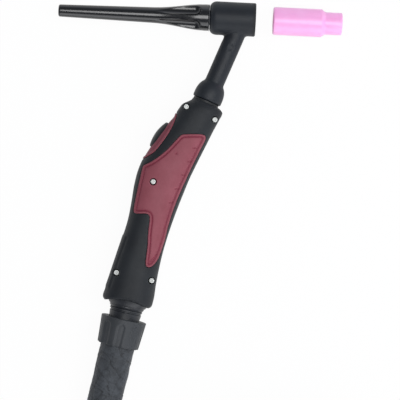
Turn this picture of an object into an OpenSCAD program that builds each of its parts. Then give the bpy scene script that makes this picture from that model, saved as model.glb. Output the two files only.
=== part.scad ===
// Air-cooled TIG welding torch with its cable, laid on its side.
// X runs along the electrode and out of the nozzle, Y towards the head, Z up from the resting surface.
// The origin is the centre of the head's front face.

/* [Head] */
// Diameter of the head moulding
head_d = 22.8; // [21:0.2:26]
// Length of the head moulding
head_len = 31.4; // [30:0.2:36]
// Rounding of the head's rear edge
head_round = 4.5; // [2:0.5:5]
// Thickness of the heat shield ring on the front face
shield_t = 2; // [1:0.5:3]
// Diameter of the brass head core
core_d = 15.4; // [14.4:0.2:17]
// Diameter of the front threaded socket
socket_d = 9.2; // [8.6:0.1:10]
// Depth of the front threaded socket
socket_depth = 12; // [10:0.5:13]
// Diameter of the rear threaded socket for the back cap
cap_socket_d = 10.4; // [9.6:0.1:11]
// Depth of the rear threaded socket
cap_socket_depth = 11; // [9:0.5:12]

/* [Neck] */
// Diameter of the covered neck
neck_d = 13.3; // [12.4:0.1:15]
// Distance from the front face back to the neck's axis
neck_back = 9.1; // [8:0.1:12]
// Lean of the neck away from square to the head, in degrees
neck_lean = 20.9; // [15:0.1:26]
// Length of the neck from the head's axis to the bell's rim
neck_len = 60.6; // [55:0.2:70]
// Diameter of the bell above the handle
bell_d = 20.2; // [18:0.2:22]
// Length of the bell
bell_len = 13.6; // [12:0.2:18]
// Outer diameter of the copper power tube
tube_d = 9.5; // [8:0.1:10.5]
// Bore of the copper power tube
tube_bore = 6.4; // [5:0.1:7]

/* [Back cap] */
// Length of the back cap outside the head
cap_len = 102.6; // [95:0.2:115]
// Diameter of the cap's front band
cap_d = 18; // [17:0.2:20]
// Diameter of the cap's rounded tip
cap_tip_d = 8.3; // [8:0.1:10]
// Length of the plain front band
cap_band = 5.5; // [4.1:0.2:15.1]
// Number of flutes round the cap
flutes = 5; // [3:1:6]
// Radius of one flute
flute_r = 4.5; // [3.6:0.1:5.2]

/* [Gas cup] */
// Length of the ceramic gas cup
cup_len = 47; // [44:0.5:55]
// Outer diameter of the cup's body
cup_d = 18.9; // [18:0.1:20]
// Outer diameter of the cup's tip
cup_tip_d = 15.2; // [14.4:0.1:16]
// Length of the cup's body before its step
cup_step = 33.4; // [32:0.2:36]
// Bore of the cup's tip
cup_bore = 11; // [10.4:0.1:12]
// Distance that the loose cup stands in front of the head
cup_gap = 11.9; // [11.6:0.1:16]

/* [Torch internals] */
// Outer diameter of the collet
collet_d = 5.8; // [5:0.1:6.2]
// Length of the collet
collet_len = 47; // [44:0.5:48]
// Diameter of the tungsten electrode
electrode_d = 2.4; // [1.6:0.1:2.6]
// Length of the tungsten electrode
electrode_len = 116; // [105:1:118]
// Length of the collet body
collet_body_len = 41; // [39:0.5:42]
// Diameter of the collet body's cup thread
cup_thread_d = 12.5; // [12:0.1:13]

/* [Handle] */
// Length of the handle along the neck's line
handle_len = 156; // [150:1:170]
// Half of the handle's depth at the cable end
handle_half = 16.5; // [16.4:0.1:18]
// Wall of the handle shells
wall = 2.3; // [2:0.1:2.6]
// Depth of the recess for the grip insert and the trigger bezel
inlay_t = 1.3; // [1:0.1:1.4]
// Diameter of the screw heads
screw_head_d = 3.6; // [3:0.1:4]
// Diameter of the screw shanks
screw_d = 2; // [1.6:0.1:2.2]
// Length of the screw shanks
screw_len = 14.4; // [12.8:0.2:14.6]

/* [Trigger] */
// Length of the trigger pad
pad_len = 20; // [17:0.5:22]
// Width of the trigger pad
pad_w = 13; // [11:0.5:14]
// Height of the pad's crown above the bezel
pad_rise = 2.6; // [2.2:0.1:3.4]
// Travel of the trigger
pad_travel = 1.5; // [0.8:0.1:1.6]

/* [Swivel and collar] */
// Diameter of the swivel ball
ball_d = 28.6; // [28:0.1:29]
// Diameter of the swivel's threaded tail
tail_d = 20.8; // [19.6:0.1:21]
// Turn of the cable away from the handle's line, in degrees
cable_turn = 10.4; // [7:0.2:12.4]
// Diameter of the clamp collar at its handle end
collar_d = 31.1; // [30:0.1:32]
// Diameter of the clamp collar at its cable end
collar_end_d = 28.4; // [27.6:0.1:30]
// Length of the clamp collar
collar_len = 19; // [17:0.5:21]
// Number of ribs round the collar
collar_ribs = 9; // [7:1:10]

/* [Cable] */
// Diameter of the leather sleeve
sleeve_d = 23.4; // [22:0.2:24]
// Diameter of the rubber cable
cable_d = 12; // [11:0.2:12.4]
// Diameter of the plug's brass pin
pin_d = 13; // [9:0.5:13]
// Length of the plug's brass pin
pin_len = 26; // [20:1:32]
// Width of the coil's straps
strap_w = 20; // [16:1:25]

/* [Hidden] */
$fn = 64;
fit = 0.05;          // running clearance on a radius
slack = 0.3;         // clearance round loose or faceted pieces
eps = 0.01;
rubber = "#2b2d2f";
shell_black = "#363b3d";
crimson = "#8a3c49";
brass = "#b8944a";
copper = "#b5714a";
steel = "#c9ccce";
hull_fn = 32;

// ---- shared geometry helpers ----
function unit(v) = v / norm(v);
function facing(a) = [cos(a), sin(a), 0];
function smooth(t) = t <= 0 ? 0 : t >= 1 ? 1 : t * t * (3 - 2 * t);
function tangent(p, i) = unit(p[min(i + 1, len(p) - 1)] - p[max(i - 1, 0)]);
// Ring of points round a route's point, square to the route
function ring_at(c, t, r, sides) =
    let (across = unit(cross([0, 0, 1], t)), up = cross(t, across))
    [for (k = [0:sides - 1]) c + r * (cos(k * 360 / sides) * across + sin(k * 360 / sides) * up)];
// Triangles of a skin over rings of n points, closed at both ends
function skin_faces(rings, n) = concat(
    [for (k = [1:n - 2]) [0, k, k + 1]],
    [for (i = [0:rings - 2], k = [0:n - 1]) [i * n + k, (i + 1) * n + k, (i + 1) * n + (k + 1) % n]],
    [for (i = [0:rings - 2], k = [0:n - 1]) [i * n + k, (i + 1) * n + (k + 1) % n, i * n + (k + 1) % n]],
    [for (k = [1:n - 2]) let (last = (rings - 1) * n) [last, last + k + 1, last + k]]);
module tube_along(route, r, sides) {
    rings = [for (i = [0:len(route) - 1]) ring_at(route[i], tangent(route, i), r, sides)];
    polyhedron([for (ring = rings) each ring], skin_faces(len(route), sides));
}
function route_length(p) = len(p) < 2 ? 0 : [for (i = 0, s = 0; i < len(p); i = i + 1,
    s = s + (i < len(p) ? norm(p[i] - p[i - 1]) : 0)) s][len(p) - 1];
// Smooth curve from p to q that leaves along one direction and arrives along another
function bridge(p, q, leave, arrive, steps) = let (reach = 0.5 * norm(q - p)) [for (k = [0:steps]) let (t = k / steps)
    p * (2 * t * t * t - 3 * t * t + 1) + q * (3 * t * t - 2 * t * t * t)
    + reach * (t * t * t - 2 * t * t + t) * leave + reach * (t * t * t - t * t) * arrive];
// Least distance between stretches of a route more than `apart` points from each other
function least_gap(p, apart, r) = min([for (i = [0:len(p) - 1 - apart], j = [i + apart:len(p) - 1])
    norm(p[i] - p[j])]) - 2 * r;
// A solid of revolution along +X from a profile of [x, radius]
module turned(profile) rotate([0, 90, 0]) rotate([0, 0, 90]) rotate_extrude()
    polygon([for (p = profile) [p[1], p[0]]]);
module rod(x0, x1, r) translate([x0, 0, 0]) rotate([0, 90, 0]) cylinder(h = x1 - x0, r = r);
module cone(x0, x1, r0, r1) translate([x0, 0, 0]) rotate([0, 90, 0]) cylinder(h = x1 - x0, r1 = r0, r2 = r1);
function arc(cx, cy, r, from, to, steps) = [for (k = [0:steps])
    let (a = from + (to - from) * k / steps) [cx + r * cos(a), cy + r * sin(a)]];

// ---- frames ----
neck_heading = -90 - neck_lean;
neck_end = [-neck_back + neck_len * cos(neck_heading), neck_len * sin(neck_heading), 0];
module neck_frame() translate([-neck_back, 0, 0]) rotate([0, 0, neck_heading]) children();
// The handle's x runs from the bell's rim to the cable, and y from the trigger side to the palm side
module handle_frame() translate(neck_end) rotate([0, 0, neck_heading]) children();
ball_at = [handle_len - 13.4, 5.3, 0];
module ball_frame() handle_frame() translate(ball_at) rotate([0, 0, cable_turn]) children();
cable_heading = neck_heading + cable_turn;
function turn(p, a) = [p[0] * cos(a) - p[1] * sin(a), p[0] * sin(a) + p[1] * cos(a), p[2]];
ball_world = neck_end + turn(ball_at, neck_heading);
function ball_point(x) = ball_world + turn([x, 0, 0], cable_heading);
floor_z = -handle_half;

// ---- handle form ----
// Sections along the handle: x, reach to the trigger side, reach to the palm side, half depth
end_x = handle_len;
sections = [
    [1.6, 9.3, 10.8, 10.2], [3, 9.5, 13, 11.6], [5.2, 11.2, 13.6, 12.7], [8, 13.7, 13.3, 13.3],
    [12, 15, 13, 13.8], [18, 15.9, 12.5, 14.2], [26, 18.4, 12.1, 14.6], [35, 20.8, 11.6, 15],
    [45, 22.6, 11.1, 15.4], [54, 23.8, 10.8, 15.8], [62, 23.7, 11, 16], [72, 22.1, 11.3, 16],
    [83, 19.3, 11.9, 15.7], [95, 16.6, 12.9, 15.4], [108, 15.1, 14.6, 15.4], [119, 14.1, 16.7, 15.8],
    [129, 13.2, 19, handle_half - 0.2], [138, 12.4, 21.4, handle_half],
    [end_x - 8, 11.7, 22.6, handle_half], [end_x, 11, 23, handle_half]];
roundness = 2.4;
half_steps = 12;
function section_at(x) =
    let (i = max([for (k = [0:len(sections) - 2]) if (sections[k][0] <= x || k == 0) k]),
        s = sections[i], e = sections[i + 1], t = (x - s[0]) / (e[0] - s[0]))
    s + (e - s) * t;
function power(v, p) = sign(v) * pow(abs(v), p);
// Points of one section: half +1 or -1 gives the upper or lower half, 0 the whole
function section_points(x, inset, half) =
    let (s = section_at(x), middle = (s[2] - s[1]) / 2, a = (s[2] + s[1]) / 2 - inset, b = s[3] - inset,
        from = half < 0 ? 180 : 0, count = half == 0 ? 2 * half_steps : half_steps + 1)
    [for (k = [0:count - 1]) let (t = from + k * 180 / half_steps)
        [x, middle + a * power(cos(t), 2 / roundness), b * power(sin(t), 2 / roundness)]];
function section_xs(x0, x1) = concat([x0],
    [for (s = sections) if (s[0] > x0 + 0.5 && s[0] < x1 - 0.5) s[0]], [x1]);
module handle_loft(inset, x0, x1, half) {
    xs = section_xs(x0, x1);
    n = half == 0 ? 2 * half_steps : half_steps + 1;
    polyhedron([for (x = xs) each section_points(x, inset, half)], skin_faces(len(xs), n));
}
// Height of the handle's skin above the parting plane
function skin_z(x, y) =
    let (s = section_at(x), middle = (s[2] - s[1]) / 2, a = (s[2] + s[1]) / 2)
    s[3] * pow(1 - pow(abs(y - middle) / a, roundness), 1 / roundness);
cavity_x0 = 12.6;
cavity_x1 = ball_at[0] - 11.6;
// A screw's place in from the palm side's edge, or from the trigger side's
function screw_by_palm(x, edge) = [x, section_at(x)[2] - edge];
function screw_by_trigger(x, edge) = [x, edge - section_at(x)[1]];
screw_places = [screw_by_trigger(9.5, 3.6), screw_by_palm(9.8, 2.7), screw_by_trigger(65, 12.6),
    screw_by_trigger(handle_len - 24.8, 4.2), screw_by_palm(handle_len - 29.3, 3.4)];
boss_r = screw_d / 2 + 1.6;
screw_sink = 1.2;      // depth of a screw's head below the skin
screw_head_t = 1.6;
screw_recess = 0.6;    // room round a screw's head
function screw_top(p) = skin_z(p[0], p[1]) - screw_sink;

// ---- trigger place ----
pad_at = [34, -20.4];
pad_lean = -12.1;
module in_pad_frame() translate([pad_at[0], pad_at[1], 0]) rotate([0, 0, pad_lean]) children();
module pad_frame() handle_frame() in_pad_frame() children();
pad_depth = 4.2;      // how far the pad's skirt reaches inside the bezel's line
flange_t = 1;
pad_rim = 1.2;        // how far the pad's flange stands out round it
switch_top = pad_depth + flange_t + pad_travel + 0.7;
switch_t = 5;
switch_len = 18;
switch_w = 10;
switch_hole = 6.5;    // distance of the switch's two holes from its middle
plunger_d = 2.4;
// Upright prism through the trigger side, with the stadium's long side along the handle
module pad_prism(length, width, y0, y1) translate([0, y1, 0]) rotate([90, 0, 0])
    linear_extrude(y1 - y0) union() {
        square([length - width, width], center = true);
        for (s = [-1, 1]) translate([s * (length - width) / 2, 0]) circle(d = width);
    }

// ---- torch internals' places ----
collet_x0 = -socket_depth - 0.5 - collet_len;
electrode_x0 = -socket_depth - 1 - electrode_len;
body_x0 = cup_gap + 0.3;

module head_moulding() color(rubber) difference() {
    union() {
        turned(concat([[-shield_t, 0], [-shield_t, head_d / 2]],
            arc(-head_len + head_round, head_d / 2 - head_round, head_round, 90, 180, 12),
            [[-head_len, 0]]));
        neck_frame() {
            rod(0, neck_len - bell_len + eps, neck_d / 2);
            turned([[neck_len - bell_len, 0], [neck_len - bell_len, neck_d / 2],
                [neck_len - bell_len + 2.4, neck_d / 2 + 1.6], [neck_len - 7.4, bell_d / 2 - 0.3],
                [neck_len - 4.8, bell_d / 2], [neck_len - 0.8, bell_d / 2], [neck_len, bell_d / 2 - 0.6],
                [neck_len, 0]]);
        }
    }
    rod(-head_len - 1, 1, core_d / 2 + fit);
    neck_frame() rod(0, neck_len + 1, tube_d / 2 + fit);
}

module heat_shield() color("#202224") difference() {
    turned([[-shield_t, 0], [-shield_t, head_d / 2], [-0.6, head_d / 2], [0, head_d / 2 - 0.6], [0, 0]]);
    rod(-shield_t - 1, 1, core_d / 2 + fit);
}

gallery_r = collet_d / 2 + 0.6;
module head_core() color(brass) difference() {
    rod(-head_len + 1, 0, core_d / 2);
    rod(-head_len, 1, gallery_r);
    rod(-socket_depth, 1, socket_d / 2);
    rod(-head_len, -head_len + 1 + cap_socket_depth, cap_socket_d / 2);
    neck_frame() rod(socket_d / 2 + 1, core_d, tube_d / 2 + fit);
    neck_frame() rod(0, core_d / 2, tube_bore / 2 - 1);
}

tube_in = 20;        // how far the power tube reaches into the handle
module power_tube() color(copper) neck_frame() difference() {
    rod(socket_d / 2 + 1.1, neck_len + tube_in, tube_d / 2);
    rod(0, neck_len + tube_in + 1, tube_bore / 2);
}

bush_r = 9;
bush_rim = 1.4;
bush_x1 = cavity_x0 + 3.1;
module neck_bush() color("#232527") handle_frame() difference() {
    union() {
        rod(0.3, bush_x1, bush_r);
        rod(cavity_x0 + 0.1, bush_x1, bush_r + bush_rim);
    }
    rod(0, bush_x1 + 1, tube_d / 2 + fit);
}

// Outline of the grip insert, seen square to the parting plane
grip_outline = [[28.8, -6.3], [27.2, -4.2], [21.8, 7.8], [23.7, 10.3], [32.3, 9.7], [47.5, 9], [70, 8.7],
    [88, 10.3], [98, 12.4], [111.3, 13.4], [116.5, 12.2], [119.4, 10], [118.8, 6.9], [106.2, 3.4],
    [98.2, 0.1], [87.5, -3], [86, -5.7], [89.6, -13.1], [88.8, -15.2], [81.4, -17], [61, -21],
    [57.6, -21.6], [53.7, -17.6], [47.2, -13.5], [41, -10.5], [36, -8.8]];
// Outline of the trigger bezel, open over the trigger side
bezel_outline = [[15.8, -14.6], [22.7, -13.8], [30.4, -14.2], [37.7, -15.7], [46.4, -18], [51.6, -21.9],
    [55, -25], [50, -32], [24, -32], [13.6, -20]];
module inlay_prism(outline, z0, z1, grow) translate([0, 0, z0]) linear_extrude(z1 - z0)
    offset(delta = grow) polygon(outline);
module inlay_cut(outline, z0, z1) difference() {
    inlay_prism(outline, z0, z1, 0.15);
    handle_loft(inlay_t + fit, 6, 136, 0);
}

module handle_shell(side) handle_frame() difference() {
    handle_loft(0, sections[0][0], end_x, side);
    difference() {
        handle_loft(wall, cavity_x0, cavity_x1, 0);
        for (p = screw_places) translate([p[0], p[1], -30]) cylinder(h = 60, r = boss_r);
        in_pad_frame() for (s = [-1, 1])
            translate([s * switch_hole, switch_top + switch_t / 2, side > 0 ? switch_w / 2 : -30])
                cylinder(h = 30 - switch_w / 2, r = 2);
    }
    rod(0, cavity_x0 + 1, bush_r + fit);
    rod(cavity_x0, bush_x1 + slack, bush_r + bush_rim + slack);
    translate(ball_at) sphere(d = ball_d + 2 * fit);
    // arched rim round the swivel
    translate(ball_at) rotate([0, 0, cable_turn]) translate([45, 0, -30]) cylinder(h = 60, r = 42);
    in_pad_frame() {
        pad_prism(pad_len + 2 * slack, pad_w + 2 * slack, -9, pad_depth);
        pad_prism(pad_len + 2 * (pad_rim + slack), pad_w + 2 * (pad_rim + slack), pad_depth,
            pad_depth + flange_t + pad_travel + slack);
    }
    mirror([0, 0, side < 0 ? 1 : 0]) inlay_cut(grip_outline, 2, 20);
    inlay_cut(bezel_outline, -20, 20);
    for (p = screw_places) {
        translate([p[0], p[1], screw_top(p) - screw_head_t - screw_len - slack])
            cylinder(h = screw_len + 5, r = screw_d / 2 + fit);
        if (side > 0) translate([p[0], p[1], screw_top(p) - screw_head_t])
            cylinder(h = 20, r = screw_head_d / 2 + screw_recess);
    }
}
module front_shell() color(shell_black) handle_shell(1);
module back_shell() color(shell_black) handle_shell(-1);

module grip_insert(side) handle_frame() difference() {
    intersection() {
        handle_loft(-0.15, 18, 124, side);
        mirror([0, 0, side < 0 ? 1 : 0]) inlay_prism(grip_outline, 2.2, 25, 0);
    }
    handle_loft(inlay_t, 10, 134, 0);
    if (side > 0) for (p = screw_places) translate([p[0], p[1], 0]) cylinder(h = 30, r = screw_head_d / 2 + screw_recess);
}
module front_grip_insert() color(crimson) grip_insert(1);
module back_grip_insert() color(crimson) grip_insert(-1);

module trigger_bezel() color(crimson) handle_frame() difference() {
    intersection() {
        handle_loft(0, 10, 60, 0);
        inlay_prism(bezel_outline, -20, 20, 0);
    }
    handle_loft(inlay_t, 8, 64, 0);
    in_pad_frame() pad_prism(pad_len + 2 * slack, pad_w + 2 * slack, -9, pad_depth);
}

pad_round = 7.8;
module trigger_pad() color("#232628") pad_frame() difference() {
    union() {
        intersection() {
            // barrel crown, turned about a line below the pad
            translate([0, pad_round - pad_rise, 0]) turned(concat([[-pad_len / 2 - 1, 0]],
                [for (k = [-6:6]) let (x = k * (pad_len / 2 + 1) / 6) [x, pad_round - x * x / 54]],
                [[pad_len / 2 + 1, 0]]));
            pad_prism(pad_len, pad_w, -pad_rise - 1, pad_depth);
        }
        pad_prism(pad_len, pad_w, 3, pad_depth);
        pad_prism(pad_len + 2 * pad_rim, pad_w + 2 * pad_rim, pad_depth, pad_depth + flange_t);
    }
    translate([0, pad_depth - 0.6, 0]) rotate([-90, 0, 0]) cylinder(h = 3, d = plunger_d + 2 * fit);
}

module switch_plunger() color("#b9b9b4") pad_frame() translate([0, pad_depth - 0.6, 0])
    rotate([-90, 0, 0]) cylinder(h = switch_top + 2.4 - pad_depth, d = plunger_d);

module trigger_switch() color("#1c1c20") pad_frame() difference() {
    translate([-switch_len / 2, switch_top, -switch_w / 2]) cube([switch_len, switch_t, switch_w]);
    translate([0, switch_top - 1, 0]) rotate([-90, 0, 0]) cylinder(h = switch_t + 0.4, d = plunger_d + 2 * fit);
    for (s = [-1, 1]) translate([s * switch_hole, switch_top + switch_t / 2, -switch_w])
        cylinder(h = 2 * switch_w, r = 1);
}

function from_handle(p) = neck_end + turn(p, neck_heading);
function from_pad(p) = from_handle([pad_at[0], pad_at[1], 0] + turn(p, pad_lean));
boot_x0 = -45;
boot_x1 = -29;
lead_off = [0, -6.5, 0];      // where the switch lead enters the boot, beside the hose
lead_route = concat([for (x = [0, 4]) from_pad([switch_len / 2 + x, switch_top + switch_t / 2, 0])],
    [for (p = [[53, -14, 0], [60, -16.5, 0], [67, -16, 0], [75, -13.4, 0], [86, -10.6, 0]]) from_handle(p)],
    [for (x = [boot_x0 - 3, boot_x0]) ball_point(x) + turn(lead_off, cable_heading)]);
module switch_lead() color("#1d1f21") tube_along(lead_route, 1.4, 8);

module shell_screws() color(steel) handle_frame() for (p = screw_places) translate([p[0], p[1], 0]) difference() {
    union() {
        translate([0, 0, screw_top(p) - screw_head_t]) cylinder(h = screw_head_t, d = screw_head_d);
        translate([0, 0, screw_top(p) - screw_head_t - screw_len]) cylinder(h = screw_len + eps, d = screw_d);
    }
    translate([0, 0, screw_top(p) - 0.9]) cylinder(h = 2, d = 1.7, $fn = 6);
}

nut_x0 = 17;
nut_x1 = 26;
hose_r = 4.3;
module hose_coupling() color(brass) handle_frame() difference() {
    union() {
        rod(nut_x0, nut_x1, 6.6);
        translate([nut_x0 + 1, 0, 0]) rotate([0, 90, 0]) cylinder(h = 7, r = 7.6, $fn = 6);
        rod(nut_x1, nut_x1 + 9, 2.6);
    }
    rod(nut_x0 - 1, tube_in, tube_d / 2 + fit);
    rod(0, nut_x1 + 10, 1.6);
}

hose_route = concat([from_handle([nut_x1, 0, 0])], bridge(from_handle([nut_x1 + 3, 0, 0]), ball_point(boot_x0 - 3),
    facing(neck_heading), facing(cable_heading), 9), [ball_point(boot_x0)]);
module power_hose() color("#26282a") difference() {
    tube_along(hose_route, hose_r, 10);
    handle_frame() rod(nut_x1 - 1, nut_x1 + 9.5, 2.6 + fit);
}

module junction_boot() color("#1a1b1d") ball_frame() turned([[boot_x0, 0], [boot_x0, 8.2], [boot_x0 + 2, 8.6],
    [boot_x1 - 2, 8], [boot_x1, 7], [boot_x1, 0]]);

module handle_cable() color("#26282a") ball_frame() rod(boot_x1, -cable_d / 2 - 0.1, cable_d / 2);

cap_x0 = -head_len - 0.3;
cap_end = cap_x0 - cap_len;
stub_len = cap_socket_depth - 0.4;
tip_round = 1.2;
flare_x1 = cap_x0 - 6;
flare_len = 34;
tail_slope = 0.0187;
function tail_r(x) = cap_tip_d / 2 + tail_slope * (x - cap_end);
flare = cap_d / 2 - 0.15 - tail_r(flare_x1);
// Radius of the cap's skin behind its front band
function cap_r(x) = tail_r(x) + flare * smooth(pow(max(0, 1 - (flare_x1 - x) / flare_len), 1.25));
cap_steps = 14;
// A flute's floor follows an arc that dips to flute_floor and runs out of the skin towards the tip
flute_sweep = 280;
flute_floor = 5.3;
flute_depth = 3.05;
flute_front_x = cap_x0 - cap_band - sqrt(pow(flute_r, 2) - pow(flute_r - flute_depth, 2));
flute_low_x = flute_front_x - 16.5;
flute_reach = 45;
flute_turn = -28.5;
function flute_path_r(x) = flute_r + flute_floor + flute_sweep - sqrt(pow(flute_sweep, 2) - pow(x - flute_low_x, 2));
module flute_cut() {
    intersection() {
        translate([flute_low_x, 0, flute_r + flute_floor + flute_sweep]) rotate([-90, 0, 0])
            rotate_extrude($fn = 200) translate([flute_sweep, 0]) circle(r = flute_r, $fn = hull_fn);
        translate([flute_front_x - flute_reach, -cap_d / 2, 0]) cube([flute_reach, cap_d, cap_d]);
    }
    translate([flute_front_x, 0, flute_path_r(flute_front_x)]) sphere(r = flute_r);
}
module back_cap() color("#17181a") difference() {
    union() {
        turned(concat([[cap_x0, 0], [cap_x0, cap_d / 2 - 0.4], [cap_x0 - 0.4, cap_d / 2]],
            [for (k = [0:cap_steps]) let (x = flare_x1 - k * flare_len / cap_steps) [x, cap_r(x)]],
            arc(cap_end + tip_round, tail_r(cap_end) - tip_round, tip_round, 90, 180, 4), [[cap_end, 0]]));
        rod(cap_x0 - eps, cap_x0 + 0.3 + 1 + stub_len, cap_socket_d / 2 - fit);
    }
    rod(collet_x0 - 0.7, 0, collet_d / 2 + 0.25);
    rod(cap_end + 1.6, collet_x0, electrode_d / 2 + 0.5);
    for (k = [0:flutes - 1]) rotate([flute_turn + 360 * k / flutes, 0, 0]) flute_cut();
}

module cap_seal() color("#a7a8a6") difference() {
    rod(-head_len - 0.3, -head_len, cap_d / 2 + 0.2);
    rod(-head_len - 1, 1, cap_socket_d / 2 + 0.3);
}

nose_len = 4;
slot_len = 16;
slot_w = 0.5;
module collet() color(copper) translate([collet_x0, 0, 0]) difference() {
    union() {
        rod(0, collet_len - nose_len, collet_d / 2);
        cone(collet_len - nose_len, collet_len, collet_d / 2, electrode_d / 2 + 0.7);
    }
    rod(-1, collet_len + 1, electrode_d / 2 + fit);
    for (a = [0, 90]) rotate([a, 0, 0]) translate([collet_len - slot_len, -collet_d, -slot_w / 2])
        cube([slot_len + 1, 2 * collet_d, slot_w]);
}

module tungsten_electrode() color("#8d9094") translate([electrode_x0, 0, 0]) union() {
    rod(0, electrode_len - 6, electrode_d / 2);
    cone(electrode_len - 6, electrode_len, electrode_d / 2, 0.2);
}

body_bore = collet_d / 2 + 0.12;
body_r = socket_d / 2;
stem_len = 9;
thread_x1 = 19;
gas_hole_x = 24;
module collet_body() color(copper) translate([body_x0, 0, 0]) difference() {
    union() {
        rod(0, stem_len, socket_d / 2 - fit);
        rod(stem_len, thread_x1, cup_thread_d / 2);
        cone(thread_x1, thread_x1 + 2, cup_thread_d / 2, body_r);
        rod(thread_x1 + 2, collet_body_len - nose_len, body_r);
        cone(collet_body_len - nose_len, collet_body_len, body_r, electrode_d / 2 + 2);
    }
    rod(-1, collet_body_len - nose_len, body_bore);
    cone(collet_body_len - nose_len - eps, collet_body_len - 2, body_bore, electrode_d / 2 + 0.4);
    rod(collet_body_len - 2.5, collet_body_len + 1, electrode_d / 2 + 0.4);
    for (a = [45, 135]) rotate([a, 0, 0]) translate([gas_hole_x, 0, -cup_thread_d]) cylinder(h = 2 * cup_thread_d, r = 0.9);
}

module gas_cup() color("#f3b3c4") translate([cup_gap, 0, 0]) difference() {
    turned([[0, 0], [0, cup_d / 2 - 1], [1, cup_d / 2], [cup_step, cup_d / 2], [cup_step + 2.2, cup_tip_d / 2],
        [cup_len - 0.5, cup_tip_d / 2], [cup_len, cup_tip_d / 2 - 0.5], [cup_len, 0]]);
    rod(-1, cup_step - 0.6, cup_thread_d / 2 + fit);
    rod(0, cup_len + 1, cup_bore / 2);
}

tail_x1 = 32.9;
collar_x0 = tail_x1 + 2 - collar_len;
cable_bore = cable_d / 2 + 0.1;
ball_cut = 9.6;
module swivel_ball() color("#26292b") ball_frame() difference() {
    union() {
        sphere(d = ball_d);
        rod(0, tail_x1, tail_d / 2);
    }
    translate([-ball_d - ball_cut, -ball_d, -ball_d]) cube([ball_d, 2 * ball_d, 2 * ball_d]);
    rod(-ball_d, tail_x1 + 1, cable_bore);
    // flared mouth that lets the cable bend as the ball turns
    cone(-ball_cut - eps, 0, cable_d / 2 + 3.8, cable_d / 2 + 0.5);
}
module swivel_cable() color("#26282a") ball_frame() union() {
    sphere(d = cable_d);
    rod(0, tail_x1, cable_d / 2);
}

function collar_r(x) = (collar_d + (collar_end_d - collar_d) * (x - collar_x0) / collar_len) / 2;
rib_sink = 1.3;
recess_r = 3.4;                    // of the arch at a recess's handle end
recess_at = 6.5;                   // from the collar's handle end to the arch's centre
module clamp_collar() color("#2f3335") ball_frame() difference() {
    turned([[collar_x0, 0], [collar_x0, collar_d / 2 - 0.8], [collar_x0 + 0.8, collar_d / 2],
        [collar_x0 + collar_len - 0.8, collar_end_d / 2], [collar_x0 + collar_len, collar_end_d / 2 - 0.8],
        [collar_x0 + collar_len, 0]]);
    rod(0, tail_x1 + 5, tail_d / 2 + fit);
    rod(tail_x1 - 0.3, tail_x1 + 5, sleeve_d / 2 + 0.4);
    // recesses with arched tops between the ribs
    for (k = [0:collar_ribs - 1]) rotate([360 * k / collar_ribs, 0, 0]) difference() {
        union() {
            translate([collar_x0 + recess_at, 0, 0]) cylinder(h = collar_d, r = recess_r);
            translate([collar_x0 + recess_at, -recess_r, 0]) cube([collar_len, 2 * recess_r, collar_d]);
        }
        cone(collar_x0, collar_x0 + collar_len + 1, collar_d / 2 - rib_sink, collar_end_d / 2 - rib_sink);
    }
}

// ---- cable routes ----
grip_len = 46;                     // rubber grip of the power plug
grip_r = 13.4;
lift = 1.5;                        // thickness of strap under the coil
sleeve_z = floor_z + lift + sleeve_d / 2;
cable_z = floor_z + lift + cable_d / 2;
lead_start = ball_point(tail_x1);
function laid(p) = [lead_start[0] + p[0], lead_start[1] + p[1], p[2]];
coil_offset = [114.6, -182, 0];    // from the cable's start to the coil's middle
coil_at = laid(coil_offset);
sleeve_loop_r = 126;
coil_r = 107;                      // outermost turn of the rubber cable
sleeve_loop_turn = 276.5;
function on_coil(r, a, z) = [coil_at[0] + r * cos(a), coil_at[1] + r * sin(a), z];
sleeve_points = concat([lead_start, ball_point(tail_x1 + 20)],
    [for (p = [[-7.4, -40, -1], [-10.2, -67, -2], [-11.5, -96, -2.8], [-11.8, -126, -3.2], [-11.4, -150, sleeve_z],
    [-11.4, -170, sleeve_z]]) laid(p)]);
straight = 12;                     // straight end of a wound piece
loop_turned = [for (k = [0:18]) on_coil(sleeve_loop_r, 180 + sleeve_loop_turn * k / 18, sleeve_z)];
cuff_len = 24;
loop_end_a = 180 + sleeve_loop_turn;
cuff_heading = loop_end_a + 90;
loop_points = concat([loop_turned[0] - straight * facing(270)], loop_turned, [loop_turned[18] + straight * facing(cuff_heading)]);
cuff_at = loop_points[20];
cuff_end = cuff_at + turn([cuff_len, 0, 0], cuff_heading);
cable_points = concat([cuff_end, cuff_end + turn([14, 0, 0], cuff_heading)],
    [for (p = [[40.5, -65, -4.4], [29.6, -70.6, -5.4], [20.4, -78.6, -6.6], [13.5, -88.6, -7.7], [9.1, -100, -8.6],
    [7.6, -112, cable_z], [7.6, -131, cable_z], [7.6, -150, cable_z], [7.6, -170, cable_z]]) laid(p)]);
// The coil: a layer winding in, a layer winding out on top of it, then a last stretch up onto the pile
pitch = cable_d + 0.9;
layer_turns = 2.3;
climb_turns = 0.5;
wound = 2 * layer_turns;
tail_turns = 0.625;
tail_inward = 0.28;                // turns of the last stretch before it leaves the outermost turn
tail_rise = 0.34;                  // turns in which it rises
top_r = 84;                        // where the plug's end lies on the pile
top_z = floor_z + lift + 2 * pitch + 1.6 + grip_r;
function coil_radius(t) = t < wound ? coil_r - pitch * (layer_turns - abs(layer_turns - t))
    : coil_r + (top_r - coil_r) * smooth((t - wound - tail_inward) / (tail_turns - tail_inward));
function coil_height(t) =
    t < wound ? cable_z + pitch * smooth((t - layer_turns) / climb_turns + 0.5)
    : cable_z + pitch + (top_z - cable_z - pitch) * smooth((t - wound) / tail_rise);
rings_per_turn = 24;
coil_rings = round((wound + tail_turns) * rings_per_turn);
coil_turned = [for (k = [0:coil_rings]) let (t = (wound + tail_turns) * k / coil_rings)
    on_coil(coil_radius(t), 180 + 360 * t, coil_height(t))];
end_heading = 180 + 360 * (wound + tail_turns) + 90;
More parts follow.
